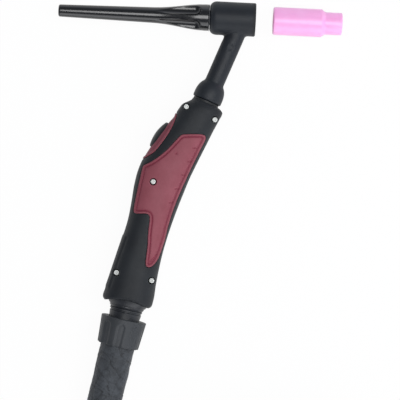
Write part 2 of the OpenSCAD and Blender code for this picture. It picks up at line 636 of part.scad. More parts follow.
coil_points = concat([coil_turned[0] - straight * facing(270)], coil_turned, [coil_turned[coil_rings] + straight * facing(end_heading)]);
plug_at = coil_points[coil_rings + 2];
echo(sleeve_length = route_length(sleeve_points) + route_length(loop_points));
echo(cable_length = route_length(cable_points) + route_length(coil_points));
echo(least_coil_gap = least_gap(coil_points, 10, cable_d / 2));
echo(ball_world = ball_world, plug_at = plug_at, end_heading = end_heading % 360, cable_heading = cable_heading);

module sleeve_lead() color("#1f1e1e") tube_along(sleeve_points, sleeve_d / 2, 12);
module sleeve_loop() color("#1f1e1e") tube_along(loop_points, sleeve_d / 2, 6);
module sleeve_cuff() color("#18191a") translate(cuff_at) rotate([0, 0, cuff_heading])
    turned([[0, 0], [0, sleeve_d / 2 - 0.2], [2, sleeve_d / 2], [8, sleeve_d / 2], [cuff_len - 3, cable_d / 2 + 1.4],
        [cuff_len, cable_d / 2 + 0.8], [cuff_len, 0]]);
module cable_lead() color("#232527") tube_along(cable_points, cable_d / 2, 10);
module cable_coil() color("#232527") tube_along(coil_points, cable_d / 2, 6);

strap_t = 1.3;
strap_angles = [25, 215, 300];
inner_r = coil_r - pitch * layer_turns - cable_d / 2;
strap_in = sqrt(inner_r * inner_r - strap_w * strap_w / 4) - 0.5;
strap_out = sleeve_loop_r + sleeve_d / 2 + 0.5;
strap_top = floor_z + lift + cable_d + pitch + 0.3;
module coil_straps() color("#3a3c3f") for (a = strap_angles) translate([coil_at[0], coil_at[1], 0])
    rotate([0, 0, a]) difference() {
        translate([strap_in - strap_t, -strap_w / 2, floor_z])
            cube([strap_out - strap_in + 2 * strap_t, strap_w, strap_top - floor_z + strap_t]);
        translate([strap_in, -strap_w, floor_z + strap_t])
            cube([strap_out - strap_in, 2 * strap_w, strap_top - floor_z - strap_t]);
    }

// ---- the connectors at the cable's end ----
module plug_frame() translate(plug_at) rotate([0, 0, end_heading]) children();
splitter_len = 30;
control_y = 34;
control_drop = -4.6;
nipple_y = 19.6;
module lead_splitter() color("#1c1d1f") plug_frame() difference() {
    hull() {
        rod(0, 1, cable_d / 2 + 1.5, $fn = hull_fn);
        rod(splitter_len - 8, splitter_len, 12, $fn = hull_fn);
        translate([0, control_y, control_drop]) rod(splitter_len - 8, splitter_len, 7, $fn = hull_fn);
    }
    translate([0, nipple_y, 0]) rod(splitter_len - 5, splitter_len + 1, 2.9 + fit);
}
module power_plug_grip() color("#232527") plug_frame() difference() {
    turned([[splitter_len, 0], [splitter_len, 12], [splitter_len + 2, grip_r], [splitter_len + grip_len - 6, grip_r],
        [splitter_len + grip_len, 11.6], [splitter_len + grip_len, 0]]);
    rod(splitter_len + grip_len - 14, splitter_len + grip_len + 1, 8.2);
    for (k = [0:11]) rotate([30 * k, 0, 0]) translate([0, 0, grip_r + 0.7])
        rod(splitter_len + 5, splitter_len + grip_len - 9, 1.3);
}
module power_plug_pin() color(brass) plug_frame() translate([splitter_len + grip_len, 0, 0]) union() {
    rod(-14, 0, 8.15);
    rod(0, 2, 9);
    turned([[2, 0], [2, pin_d / 2], [1 + pin_len, pin_d / 2], [2 + pin_len, pin_d / 2 - 1], [2 + pin_len, 0]]);
}
module gas_nipple() color(brass) plug_frame() translate([splitter_len, nipple_y, 0]) difference() {
    union() {
        rod(-5, 18, 2.9);
        rotate([0, 90, 0]) cylinder(h = 5, r = 4.6, $fn = 6);
        for (x = [8, 12, 16]) cone(x, x + 3, 3.6, 2.9);
    }
    rod(-6, 20, 1.5);
}
ring_x0 = splitter_len + 16;
module control_plug() color("#85878a") plug_frame() translate([0, control_y, control_drop]) difference() {
    union() {
        rod(splitter_len, splitter_len + 14, 7.6);
        rod(splitter_len + 14, splitter_len + 36, 7);
    }
    rod(splitter_len + 30, splitter_len + 37, 6);
    for (k = [0:4]) rotate([72 * k, 0, 0]) translate([0, 0, 3.4]) rod(splitter_len + 26, splitter_len + 31, 0.7);
}
module control_plug_ring() color("#9c9ea1") plug_frame() translate([0, control_y, control_drop]) difference() {
    rod(ring_x0, ring_x0 + 14, 9);
    rod(ring_x0 - 1, ring_x0 + 15, 7 + fit);
    for (k = [0:15]) rotate([22.5 * k, 0, 0]) translate([0, 0, 9.4]) rod(ring_x0 - 1, ring_x0 + 15, 0.8);
}

head_moulding();
heat_shield();
head_core();
power_tube();
neck_bush();
front_shell();
back_shell();
front_grip_insert();
back_grip_insert();
trigger_bezel();
trigger_pad();
switch_plunger();
trigger_switch();
switch_lead();
shell_screws();
hose_coupling();
power_hose();
junction_boot();
handle_cable();
back_cap();
cap_seal();
collet();
tungsten_electrode();
collet_body();
gas_cup();
swivel_ball();
swivel_cable();
clamp_collar();
sleeve_lead();
sleeve_loop();
sleeve_cuff();
cable_lead();
cable_coil();
coil_straps();
lead_splitter();
power_plug_grip();
power_plug_pin();
gas_nipple();
control_plug();
control_plug_ring();
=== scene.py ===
import math

import bpy
import numpy as np
from mathutils import Matrix, Vector


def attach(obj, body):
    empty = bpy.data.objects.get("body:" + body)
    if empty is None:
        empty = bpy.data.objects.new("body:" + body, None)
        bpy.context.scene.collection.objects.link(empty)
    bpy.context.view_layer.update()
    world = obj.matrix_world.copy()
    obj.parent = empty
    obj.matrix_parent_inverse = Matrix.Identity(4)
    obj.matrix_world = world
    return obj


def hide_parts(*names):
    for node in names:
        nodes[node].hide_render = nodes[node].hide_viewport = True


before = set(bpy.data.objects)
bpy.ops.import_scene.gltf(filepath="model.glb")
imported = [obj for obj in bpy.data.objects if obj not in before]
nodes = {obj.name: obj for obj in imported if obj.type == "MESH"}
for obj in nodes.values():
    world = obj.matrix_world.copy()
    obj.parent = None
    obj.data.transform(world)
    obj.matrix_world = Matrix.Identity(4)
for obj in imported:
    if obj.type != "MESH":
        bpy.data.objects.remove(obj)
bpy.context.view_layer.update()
mm = 0.001  # lengths below are in millimetres, meshes in metres
print("frame loaded,", len(nodes), "CAD nodes")

# the camera looks straight down at the torch, which lies on its side
shot = {"middle": (-31.8, -124.3), "distance": 1300, "across": 272.5, "turn": 2.8, "sensor": 36,
        "farthest": 20}

bpy.ops.object.camera_add(
    location=(shot["middle"][0] * mm, shot["middle"][1] * mm, shot["distance"] * mm),
    rotation=(0, 0, math.radians(shot["turn"])))
camera = bpy.context.object
camera.data.sensor_width = shot["sensor"]
camera.data.lens = shot["sensor"] * shot["distance"] / shot["across"]
camera.data.clip_end = shot["farthest"]
bpy.context.scene.camera = camera


def takeOnly(piece):
    bpy.ops.object.select_all(action="DESELECT")
    piece.select_set(True)
    bpy.context.view_layer.objects.active = piece


def settle(piece, place=None):
    # the piece's place goes into its mesh, and its object stays at the origin
    if place is not None:
        piece.matrix_world = place @ piece.matrix_world
    takeOnly(piece)
    bpy.ops.object.transform_apply(location=True, rotation=True, scale=True)
    return piece


def modify(piece, kind, **settings):
    takeOnly(piece)
    modifier = piece.modifiers.new(kind.lower(), kind)
    for name, value in settings.items():
        setattr(modifier, name, value)
    bpy.ops.object.modifier_apply(modifier=modifier.name)
    return piece


def carve(piece, tool, operation="DIFFERENCE"):
    modify(piece, "BOOLEAN", object=tool, operation=operation, solver="MANIFOLD")
    bpy.data.objects.remove(tool)
    return piece


def joinAll(pieces, name):
    bpy.ops.object.select_all(action="DESELECT")
    for piece in pieces:
        piece.select_set(True)
    bpy.context.view_layer.objects.active = pieces[0]
    bpy.ops.object.join()
    pieces[0].name = name
    return pieces[0]


def faceOutward(piece):
    # points on one spot merged, open ends closed, and every face turned outward
    oneSpot = 0.0005 * mm
    takeOnly(piece)
    bpy.ops.object.mode_set(mode="EDIT")
    bpy.ops.mesh.select_all(action="SELECT")
    bpy.ops.mesh.remove_doubles(threshold=oneSpot)
    bpy.ops.mesh.fill_holes(sides=0)
    bpy.ops.mesh.select_all(action="SELECT")
    bpy.ops.mesh.normals_make_consistent(inside=False)
    bpy.ops.object.mode_set(mode="OBJECT")
    return piece


def soften(piece, angle=32):
    takeOnly(piece)
    bpy.ops.object.shade_smooth_by_angle(angle=math.radians(angle))
    return piece


def spinProfile(name, profile, steps=96):
    # one point drawn out along the profile (x, radius), then spun about X
    bpy.ops.mesh.primitive_plane_add(size=mm)
    piece = bpy.context.object
    piece.name = name
    bpy.ops.object.mode_set(mode="EDIT")
    bpy.ops.mesh.select_all(action="SELECT")
    bpy.ops.mesh.merge(type="CENTER")
    bpy.ops.transform.translate(value=(profile[0][0] * mm, 0, profile[0][1] * mm))
    for (x0, r0), (x1, r1) in zip(profile, profile[1:]):
        bpy.ops.mesh.extrude_region_move(
            TRANSFORM_OT_translate={"value": ((x1 - x0) * mm, 0, (r1 - r0) * mm)})
    bpy.ops.mesh.select_all(action="SELECT")
    bpy.ops.mesh.spin(steps=steps, angle=2 * math.pi, center=(0, 0, 0), axis=(1, 0, 0))
    bpy.ops.object.mode_set(mode="OBJECT")
    return faceOutward(piece)


def rod(name, start, end, radius, steps=96):
    return spinProfile(name, [(start, 0), (start, radius), (end, radius), (end, 0)], steps)


def wrapGrid(name, points, groove=None):
    # a flat grid laid onto points[row][column], and closed where its edges meet; groove gives each point a
    # depth of painted shade, which the finish darkens
    rows, columns = points.shape[:2]
    bpy.ops.mesh.primitive_grid_add(x_subdivisions=columns - 1, y_subdivisions=rows - 1, size=1)
    piece = bpy.context.object
    piece.name = name
    piece.data.vertices.foreach_set("co", (points * mm).astype(np.float32).ravel())
    piece.data.update()
    if groove is not None:
        mark = piece.data.attributes.new("groove", "FLOAT", "POINT")
        mark.data.foreach_set("value", groove.astype(np.float32).ravel())
    return faceOutward(piece)


def prism(name, outline, low, high):
    # the outline's face drawn up from low to high
    bpy.ops.mesh.primitive_circle_add(vertices=len(outline), radius=mm, fill_type="NGON")
    piece = bpy.context.object
    piece.name = name
    for vertex, (x, y) in zip(piece.data.vertices, outline):
        vertex.co = (x * mm, y * mm, low * mm)
    bpy.ops.object.mode_set(mode="EDIT")
    bpy.ops.mesh.select_all(action="SELECT")
    bpy.ops.mesh.extrude_region_move(TRANSFORM_OT_translate={"value": (0, 0, (high - low) * mm)})
    bpy.ops.object.mode_set(mode="OBJECT")
    return faceOutward(piece)


def cylinderTool(x, y, low, high, radius, vertices=64):
    bpy.ops.mesh.primitive_cylinder_add(
        vertices=vertices, radius=radius * mm, depth=(high - low) * mm,
        location=(x * mm, y * mm, (high + low) / 2 * mm))
    return settle(bpy.context.object)


def turnGrid(profile, around):
    # a profile of (x, radius) turned about X: its x, radius and angle as grids
    profile = np.array(profile, float)
    turn = np.linspace(0, 2 * math.pi, around + 1)
    turn[-1] = 0
    x = np.repeat(profile[None, :, 0], around + 1, axis=0)
    r = np.repeat(profile[None, :, 1], around + 1, axis=0)
    return x, r, np.repeat(turn[:, None], len(profile), axis=1)


def wrapTurned(name, x, r, a):
    return wrapGrid(name, np.stack([x, r * np.cos(a), r * np.sin(a)], axis=2))


def ease(t):
    t = np.clip(t, 0, 1)
    return t * t * (3 - 2 * t)


def onLine(distance, width):
    # 1 on a line, falling off to nothing about twice its width away
    return np.exp(-(distance / width)**2)


def along(angle):
    return Vector((math.cos(math.radians(angle)), math.sin(math.radians(angle)), 0))


def standing(at, turn):
    # a frame at a point of the plane, turned about Z
    return Matrix.Translation((at[0] * mm, at[1] * mm, 0)) @ Matrix.Rotation(math.radians(turn), 4, "Z")


# where the neck, the handle and the swivel stand; each frame's X runs towards the cable
neck = {"at": (-9.1, 0), "heading": -110.9, "length": 60.6, "radius": 6.65,
        "bell": [(-13.6, 6.65), (-12.8, 6.95), (-12.1, 7.45), (-11.2, 8.15), (-10, 8.85), (-8.6, 9.4),
                 (-7, 9.8), (-4.8, 10.1), (-0.8, 10.1), (-0.2, 9.8), (0, 9.2), (0, 8.5), (0.3, 8.4),
                 (0.3, 0)]}
swivel = {"at": (142.6, 5.3), "turn": 10.4, "ball": 14.3, "tailEnd": 32.9}
neckPlace = standing(neck["at"], neck["heading"])
handlePlace = neckPlace @ Matrix.Translation((neck["length"] * mm, 0, 0))
swivelInHandle = standing(swivel["at"], swivel["turn"])
swivelPlace = handlePlace @ swivelInHandle


def swivelPoint(x):
    return (swivelPlace @ Vector((x * mm, 0, 0))) / mm


# the leather sleeve, and the rubber cable after it: both run on and lie coiled beside the torch
cable = {
    "sleeveWidth": 23.4, "rubberWidth": 12, "sleeveZ": -3.3, "rubberZ": -9,
    "sleeveLength": 0.801, "rubberLength": 3.22,
    "coil": (114.6, -182), "loopRadius": 126, "loopTurn": 276.5, "loopSteps": 36, "straight": 12,
    "leave": 20, "cuff": 24, "enter": 14, "outerTurn": 107, "pitch": 12.9, "layerTurns": 2.3, "climb": 0.5,
    "lastTurns": 0.625, "inward": 0.28, "rise": 0.34, "topRadius": 84, "topZ": 25.8, "coilSteps": 250,
}
leadStart = swivelPoint(swivel["tailEnd"])


def laid(x, y, z):
    return Vector((leadStart.x + x, leadStart.y + y, z))


coilAt = laid(cable["coil"][0], cable["coil"][1], 0)


def onCoil(radius, angle, z):
    return coilAt + along(angle) * radius + Vector((0, 0, z))


sleeveLead = [leadStart, swivelPoint(swivel["tailEnd"] + cable["leave"])] + [
    laid(*p) for p in [(-7.4, -40, -1), (-10.2, -67, -2), (-11.5, -96, -2.8), (-11.8, -126, -3.2),
                       (-11.4, -150, cable["sleeveZ"]), (-11.4, -170, cable["sleeveZ"])]]
loopTurned = [onCoil(cable["loopRadius"], 180 + cable["loopTurn"] * k / cable["loopSteps"], cable["sleeveZ"])
              for k in range(cable["loopSteps"] + 1)]
cuffHeading = 180 + cable["loopTurn"] + 90
loopEnd = loopTurned[-1] + along(cuffHeading) * cable["straight"]
sleeveRoute = sleeveLead + [loopTurned[0] - along(270) * cable["straight"]] + loopTurned + [loopEnd]
cuffEnd = loopEnd + along(cuffHeading) * cable["cuff"]

rubberZ = cable["rubberZ"]
cableLead = [cuffEnd, cuffEnd + along(cuffHeading) * cable["enter"]] + [
    laid(*p) for p in [(40.5, -65, -4.4), (29.6, -70.6, -5.4), (20.4, -78.6, -6.6), (13.5, -88.6, -7.7),
                       (9.1, -100, -8.6), (7.6, -112, rubberZ), (7.6, -131, rubberZ),
                       (7.6, -150, rubberZ), (7.6, -170, rubberZ)]]


def coilPoint(t):
    # t counts turns: a layer winding in, one winding out on it, then a stretch up onto the pile
    c = cable
    wound = 2 * c["layerTurns"]
    if t < wound:
        radius = c["outerTurn"] - c["pitch"] * (c["layerTurns"] - abs(c["layerTurns"] - t))
        z = rubberZ + c["pitch"] * ease((t - c["layerTurns"]) / c["climb"] + 0.5)
    else:
        radius = c["outerTurn"] + (c["topRadius"] - c["outerTurn"]) * ease(
            (t - wound - c["inward"]) / (c["lastTurns"] - c["inward"]))
        z = rubberZ + c["pitch"] + (c["topZ"] - rubberZ - c["pitch"]) * ease((t - wound) / c["rise"])
    return onCoil(float(radius), 180 + 360 * t, float(z))


allTurns = 2 * cable["layerTurns"] + cable["lastTurns"]
endHeading = 180 + 360 * allTurns + 90
coilTurned = [coilPoint(allTurns * k / cable["coilSteps"]) for k in range(cable["coilSteps"] + 1)]
plugAt = coilTurned[-1] + along(endHeading) * cable["straight"]
cableRoute = cableLead + [coilTurned[0] - along(270) * cable["straight"]] + coilTurned + [plugAt]


def evenRoute(route, step, fineStep=0, fineRun=0):
    # a smooth curve through the route, its points a step apart, or closer over the fine run at its start
    p = np.array([tuple(q) for q in route])
    q = np.concatenate([[2 * p[0] - p[1]], p, [2 * p[-1] - p[-2]]])
    fine = []
    for i in range(1, len(q) - 2):
        a, b, c, d = q[i - 1:i + 3]
        spans = [max(np.linalg.norm(v) ** 0.5, 1e-6) for v in (b - a, c - b, d - c)]
        slopeB = ((b - a) / spans[0] - (c - a) / (spans[0] + spans[1]) + (c - b) / spans[1]) * spans[1]
        slopeC = ((c - b) / spans[1] - (d - b) / (spans[1] + spans[2]) + (d - c) / spans[2]) * spans[1]
        for t in np.arange(0, 1, 0.1):
            fine.append((2 * t**3 - 3 * t**2 + 1) * b + (t**3 - 2 * t**2 + t) * slopeB
                        + (3 * t**2 - 2 * t**3) * c + (t**3 - t**2) * slopeC)
    fine = np.array(fine + [p[-1]])
    run = np.concatenate([[0], np.cumsum(np.linalg.norm(np.diff(fine, axis=0), axis=1))])
    even = np.linspace(fineRun, run[-1], max(2, round((run[-1] - fineRun) / step)) + 1)
    if fineRun:
        even = np.concatenate([np.arange(0, fineRun, fineStep), even])
    return np.stack([np.interp(even, run, fine[:, k]) for k in range(3)], axis=1), even


def tubePoints(route, around, radius):
    # rings along the route; radius(run, angle) in millimetres, both arrays
    centres, run = route
    forward = np.gradient(centres, axis=0)
    forward /= np.linalg.norm(forward, axis=1)[:, None]
    side = np.cross(forward, (0, 0, 1))
    side /= np.linalg.norm(side, axis=1)[:, None]
    up = np.cross(side, forward)
    angle = np.linspace(0, 2 * math.pi, around + 1)
    angle[-1] = 0
    s, a = np.meshgrid(run, angle)
    r = radius(s, a)[..., None]
    return centres[None] + r * (np.cos(a)[..., None] * side[None] + np.sin(a)[..., None] * up[None])


def wave(s, a, seed, length, across):
    # a smooth repeatable wander, about length mm long and across radians wide
    total, waves = np.zeros_like(s), 7
    draw = np.random.default_rng(seed)
    for k in range(waves):
        f, g = draw.uniform(0.6, 1.6) / length, draw.integers(1, max(2, round(6 / across))) * (-1)**k
        total += np.sin(2 * math.pi * f * s + g * a + draw.uniform(0, 6.28)) / waves
    return total


# leather wrapped round the cable: each row of folds and creases starts with a seed, a length in
# millimetres and a share of the way round; a fold then has its height, a crease its depth and width
leatherShape = {
    "folds": [(5, 30, 1.2, 0.4), (8, 11, 0.9, 0.18)],
    "creases": [(21, 13, 1.5, 0.2, 0.05), (34, 7, 0.9, 0.14, 0.05), (55, 19, 2.0, 0.3, 0.025),
                (89, 60, 0.6, 0.24, 0.03)],
    "lapAt": 4.4, "lapHeight": 0.7, "lapWidth": 0.10, "startRun": 4, "endRun": 8,
    "around": 120, "step": 1.8, "fineStep": 0.5, "fineRun": 90,
}


def creaseDepth(s, a):
    return sum(deep * onLine(wave(s, a, seed, length, across), wide)
               for seed, length, across, deep, wide in leatherShape["creases"])


def sleeveRadius(s, a):
    # slack folds, crumpled creases between them, and a lapped edge; both ends are pulled round
    c = leatherShape
    folds = sum(wave(s, a, seed, length, across) * high for seed, length, across, high in c["folds"])
    folds = folds - creaseDepth(s, a)
    lap = c["lapHeight"] * onLine(a - c["lapAt"], c["lapWidth"])
    ends = ease(s / c["startRun"]) * ease((s[0, -1] - s) / c["endRun"])
    return cable["sleeveWidth"] / 2 + folds * ends + lap * ends


sleeveLine = evenRoute(sleeveRoute, leatherShape["step"], leatherShape["fineStep"], leatherShape["fineRun"])
sleeveTurns = np.linspace(0, 2 * math.pi, leatherShape["around"] + 1)
# the crease depth also goes to the finish, as painted shade in the creases
leatherSleeve = soften(wrapGrid(
    "leatherSleeve", tubePoints(sleeveLine, leatherShape["around"], sleeveRadius),
    creaseDepth(*np.meshgrid(sleeveLine[1], sleeveTurns))), 60)
cableLine = evenRoute(cableRoute, 3)
rubberCable = soften(wrapGrid("rubberCable", tubePoints(
    cableLine, 28, lambda s, a: np.full(s.shape, cable["rubberWidth"] / 2))), 60)
print("cords routed,", round(sleeveLine[1][-1]), "mm of sleeve,", round(cableLine[1][-1]), "mm of cable")

# head, neck and bell are one rubber moulding; tools that cut it reach past it
head = {"length": 31.4, "radius": 11.4, "front": -2, "rearRound": 4.5, "voxel": 0.42,
        "bore": 7.72, "boreRear": -40, "boreFront": 5, "tubeBore": 4.8, "tubeEnd": 80, "past": 20,
        "flowFrom": 6, "flowTo": 24, "flowOut": 4, "flowRounds": 40,
        "dimpleAt": 21.2, "dimpleSide": 0.9, "dimpleSize": (3.3, 2.6), "dimpleDepth": 0.55}


def arcPoints(cx, cy, r, start, end, steps):
    return [(cx + r * math.cos(math.radians(start + (end - start) * k / steps)),
             cy + r * math.sin(math.radians(start + (end - start) * k / steps)))
            for k in range(steps + 1)]


uncut = head["front"] + 4
headCover = spinProfile("headCover", [(uncut, 0), (uncut, head["radius"])]
    + arcPoints(-head["length"] + head["rearRound"], head["radius"] - head["rearRound"],
                head["rearRound"], 90, 180, 12) + [(-head["length"], 0)], 128)
bell = spinProfile("neckAndBell", [(0, 0), (0, neck["radius"])]
    + [(neck["length"] + x, r) for x, r in neck["bell"]], 128)
carve(headCover, settle(bell, neckPlace), "UNION")
modify(headCover, "REMESH", mode="VOXEL", voxel_size=head["voxel"] * mm, use_smooth_shade=True)


def shapeHead(piece):
    # the moulding flows from the neck into the head, and a filler mark dents the neck
    group = piece.vertex_groups.new(name="flow")
    away = neckPlace.inverted()
    for vertex in piece.data.vertices:
        local = (away @ vertex.co) / mm
        fromAxis = math.hypot(vertex.co.y, vertex.co.z) / mm
        if fromAxis < head["radius"] + head["flowOut"] and head["flowFrom"] < local.x < head["flowTo"]:
            group.add([vertex.index], 1, "REPLACE")
    modify(piece, "SMOOTH", factor=0.5, iterations=head["flowRounds"], vertex_group="flow")
    modify(piece, "SMOOTH", factor=0.5, iterations=3)
    long, wide = head["dimpleSize"]
    for vertex in piece.data.vertices:
        local = (away @ vertex.co) / mm
        reach = math.hypot((local.x - head["dimpleAt"]) / long, (local.y - head["dimpleSide"]) / wide)
        if local.z > 0 and reach < 1:
            vertex.co.z -= head["dimpleDepth"] * mm * float(ease((1 - reach) * 1.2))


shapeHead(headCover)
carve(headCover, rod("frontCut", head["front"], head["past"], head["past"]))
carve(headCover, rod("coreBore", head["boreRear"], head["boreFront"], head["bore"]))
carve(headCover, settle(rod("tubeBore", 0, head["tubeEnd"], head["tubeBore"], 48), neckPlace))
soften(headCover, 40)
print("head, neck and bell moulded")

# the back cap is a long taper, with five scallops cut into its flare
backCapSize = {
    "front": -31.7, "length": 102.6, "radius": 9, "band": 5.5, "bandDrop": 0.15, "rimRound": 0.8,
    "tip": 4.15, "slope": 0.0187, "tipRound": 1.2, "tipWall": 1.6,
    "flareAt": -37.7, "flareLength": 34, "flareBend": 1.25,
    "scallops": 5, "scallopRadius": 4.5, "floor": 5.3, "sweep": 280, "depth": 3.05, "lowest": 16.5,
    "turn": -28.5, "lip": 0.5, "stub": 5.15, "stubEnd": -19.8, "stubRound": 0.4,
    "colletBore": 3.15, "colletEnd": -60.2, "rodBore": 1.7, "around": 224,
}


def capRadius(x):
    c = backCapSize
    end = c["front"] - c["length"]
    tail = c["tip"] + c["slope"] * (x - end)
    flare = c["radius"] - c["bandDrop"] - (c["tip"] + c["slope"] * (c["flareAt"] - end))
    return tail + flare * ease(np.maximum(0, 1 - (c["flareAt"] - x) / c["flareLength"]) ** c["flareBend"])


def capProfile():
    # the bore's wall from the closed end to the front, then the skin back to the tip
    c = backCapSize
    front, end, tipEdge = c["front"], c["front"] - c["length"], c["front"] - c["length"] + c["tipRound"]
    inside = [(end + c["tipWall"], 0), (end + c["tipWall"], c["rodBore"]), (c["colletEnd"], c["rodBore"]),
              (c["colletEnd"], c["colletBore"]), (c["stubEnd"], c["colletBore"]),
              (c["stubEnd"], c["stub"] - c["stubRound"]), (c["stubEnd"] - c["stubRound"], c["stub"]),
              (front + 0.02, c["stub"]), (front, c["stub"] + 0.1), (front, 6), (front, 7.4),
              (front, c["radius"] - 0.9)]
    outside = arcPoints(front - c["rimRound"], c["radius"] - c["rimRound"], c["rimRound"], 0, 90, 6)[1:]
    outside += [(x, c["radius"] - c["bandDrop"] * ease((front - 2 - x) / 4))
                for x in np.arange(front - 1.4, c["flareAt"], -0.6)]
    outside += [(x, float(capRadius(x))) for x in np.arange(c["flareAt"], end + 1.3, -0.45)]
    tipRadius = float(capRadius(tipEdge)) - c["tipRound"]
    outside += arcPoints(tipEdge, tipRadius, c["tipRound"], 90, 180, 8) + [(end, r) for r in (2, 1, 0)]
    return inside, outside


def makeBackCap():
    c = backCapSize
    inside, outside = capProfile()
    x, r, a = turnGrid(inside + outside, c["around"])
    skin = np.arange(x.shape[1]) >= len(inside)
    bitten = math.sqrt(c["scallopRadius"]**2 - (c["scallopRadius"] - c["depth"])**2)
    scallopFront = c["front"] - c["band"] - bitten
    lowest = scallopFront - c["lowest"]
    untouched, halfAngle = 99, 1.2  # where no scallop reaches, and how far round one can
    for k in range(c["scallops"]):
        # seen along the cap, a scallop is a round groove whose floor dips and runs out again
        path = np.minimum(x, scallopFront) - lowest
        centre = c["scallopRadius"] + c["floor"] + c["sweep"] - np.sqrt(c["sweep"]**2 - path**2)
        off = a - math.radians(90 + c["turn"] + 360 * k / c["scallops"])
        off = (off + math.pi) % (2 * math.pi) - math.pi
        bit = np.sqrt(np.maximum(0, c["scallopRadius"]**2 - np.maximum(0, x - scallopFront)**2))
        within = bit**2 - (centre * np.sin(off))**2
        floor = np.where((within > 0) & (np.abs(off) < halfAngle),
                         centre * np.cos(off) - np.sqrt(np.maximum(within, 0)), untouched)
        # a small round where the groove leaves the skin
        gap = np.clip((floor - r + c["lip"]) / (2 * c["lip"]), 0, 1)
        blended = floor * (1 - gap) + r * gap - c["lip"] / 2 * gap * (1 - gap)
        r = np.where(skin[None, :] & (floor < untouched), np.minimum(r, blended), r)
    return soften(wrapTurned("backCap", x, r, a), 40)


backCap = makeBackCap()
print("back cap shaped")

# the gas cup is pressed ceramic, with thread crests in its bore
gasCupSize = {"at": 11.9, "length": 47, "radius": 9.45, "tipRadius": 7.6, "step": 33.4, "bore": 5.5,
              "rearRound": 1.2, "stepRound": 0.6, "tipRound": 1, "lip": 0.5,
              "shoulder": [(1.5, 0.35), (2.2, 0.05), (3, 0)],
              "thread": 6.3, "threadLead": 0.4, "threadStart": 1.2, "crests": 9, "pitch": 1.6, "crest": 0.45}


def makeGasCup():
    c = gasCupSize
    profile = [(0, c["thread"] + c["threadLead"]), (0, c["radius"] - c["rearRound"])]
    profile += arcPoints(c["rearRound"], c["radius"] - c["rearRound"], c["rearRound"], 180, 90, 6)[1:]
    profile += arcPoints(c["step"] - c["stepRound"], c["radius"] - c["stepRound"], c["stepRound"], 90, 45, 4)
    profile += [(c["step"] + x, c["tipRadius"] + r) for x, r in c["shoulder"]]
    profile += arcPoints(c["length"] - c["tipRound"], c["tipRadius"] - c["tipRound"], c["tipRound"], 90, 0, 6)
    profile += [(c["length"], c["bore"] + c["lip"]), (c["length"] - c["lip"], c["bore"]),
                (c["step"] - c["stepRound"], c["bore"])]
    for k in range(c["crests"]):
        x = c["step"] - c["threadStart"] - k * c["pitch"]
        profile += [(x, c["thread"]), (x - 0.5, c["thread"] - c["crest"]), (x - 1.0, c["thread"])]
    profile += [(c["threadLead"], c["thread"]), (0, c["thread"] + c["threadLead"])]
    cup = spinProfile("gasCup", profile, 128)
    return settle(soften(cup, 34), Matrix.Translation((c["at"] * mm, 0, 0)))


gasCup = makeGasCup()
print("gas cup spun")

# the handle: two shells with inlays; sizes are seen from its front, x from the neck towards the cable
handle = {
    "roundness": 2.4, "wall": 2.3, "front": 1.6, "frontRound": 0.75, "end": 156, "mouth": 9.1,
    "mouthEnd": 12.6, "ballRoom": 0.12, "inlay": 1.3, "fit": 0.15, "hidden": 0.05, "edge": 0.45,
    "screwHole": 2.4, "screws": [(9.5, -10.6), (9.8, 10.5), (65, -10.7), (131.2, -8.8), (126.7, 15.1)],
    "sections": [  # x, reach to the trigger side, reach to the palm side, half depth
        (1.6, 9.3, 10.8, 10.2), (3, 9.5, 13, 11.6), (5.2, 11.2, 13.6, 12.7), (8, 13.7, 13.3, 13.3),
        (12, 15, 13, 13.8), (18, 15.9, 12.5, 14.2), (26, 18.4, 12.1, 14.6), (35, 20.8, 11.6, 15),
        (45, 22.6, 11.1, 15.4), (54, 23.8, 10.8, 15.8), (62, 23.7, 11, 16), (72, 22.1, 11.3, 16),
        (83, 19.3, 11.9, 15.7), (95, 16.6, 12.9, 15.4), (108, 15.1, 14.6, 15.4), (119, 14.1, 16.7, 15.8),
        (129, 13.2, 19, 16.3), (138, 12.4, 21.4, 16.5), (148, 11.7, 22.6, 16.5), (156, 11, 23, 16.5)],
    "grip": [(28.8, -6.3), (27.2, -4.2), (21.8, 7.8), (23.7, 10.3), (32.3, 9.7), (47.5, 9), (70, 8.7),
             (88, 10.3), (98, 12.4), (111.3, 13.4), (116.5, 12.2), (119.4, 10), (118.8, 6.9), (106.2, 3.4),
             (98.2, 0.1), (87.5, -3), (86, -5.7), (89.6, -13.1), (88.8, -15.2), (81.4, -17), (61, -21),
             (57.6, -21.6), (53.7, -17.6), (47.2, -13.5), (41, -10.5), (36, -8.8)],
    "bezel": [(15.8, -14.6), (22.7, -13.8), (30.4, -14.2), (37.7, -15.7), (46.4, -18), (51.6, -21.9),
              (55, -25), (50, -32), (24, -32), (13.6, -20)],
    "ticks": [(32.9, 6.3), (42.6, 6.5), (52.7, 6.3), (63, 6.1), (73.1, 6.1)],
    "tickAlong": (-0.28, 0.62), "stroke": [(108.4, 11.4), (115, 9.1)], "dot": (41.4, -4.1),
    "strip": [(106.5, -11.9), (126, -10.5), (143, -8.6)],
}
sectionX = np.array([s[0] for s in handle["sections"]], float)
sectionReach = np.array([s[1:] for s in handle["sections"]], float)
sectionSlope = np.gradient(sectionReach, sectionX, axis=0)


def reachAt(x):
    # the handle's smooth form: reach to each side and half depth at x
    i = np.clip(np.searchsorted(sectionX, x) - 1, 0, len(sectionX) - 2)
    h = (sectionX[i + 1] - sectionX[i])[..., None]
    t = np.clip((x - sectionX[i])[..., None] / h, 0, 1)
    return ((2 * t**3 - 3 * t**2 + 1) * sectionReach[i] + (t**3 - 2 * t**2 + t) * h * sectionSlope[i]
            + (3 * t**2 - 2 * t**3) * sectionReach[i + 1] + (t**3 - t**2) * h * sectionSlope[i + 1])


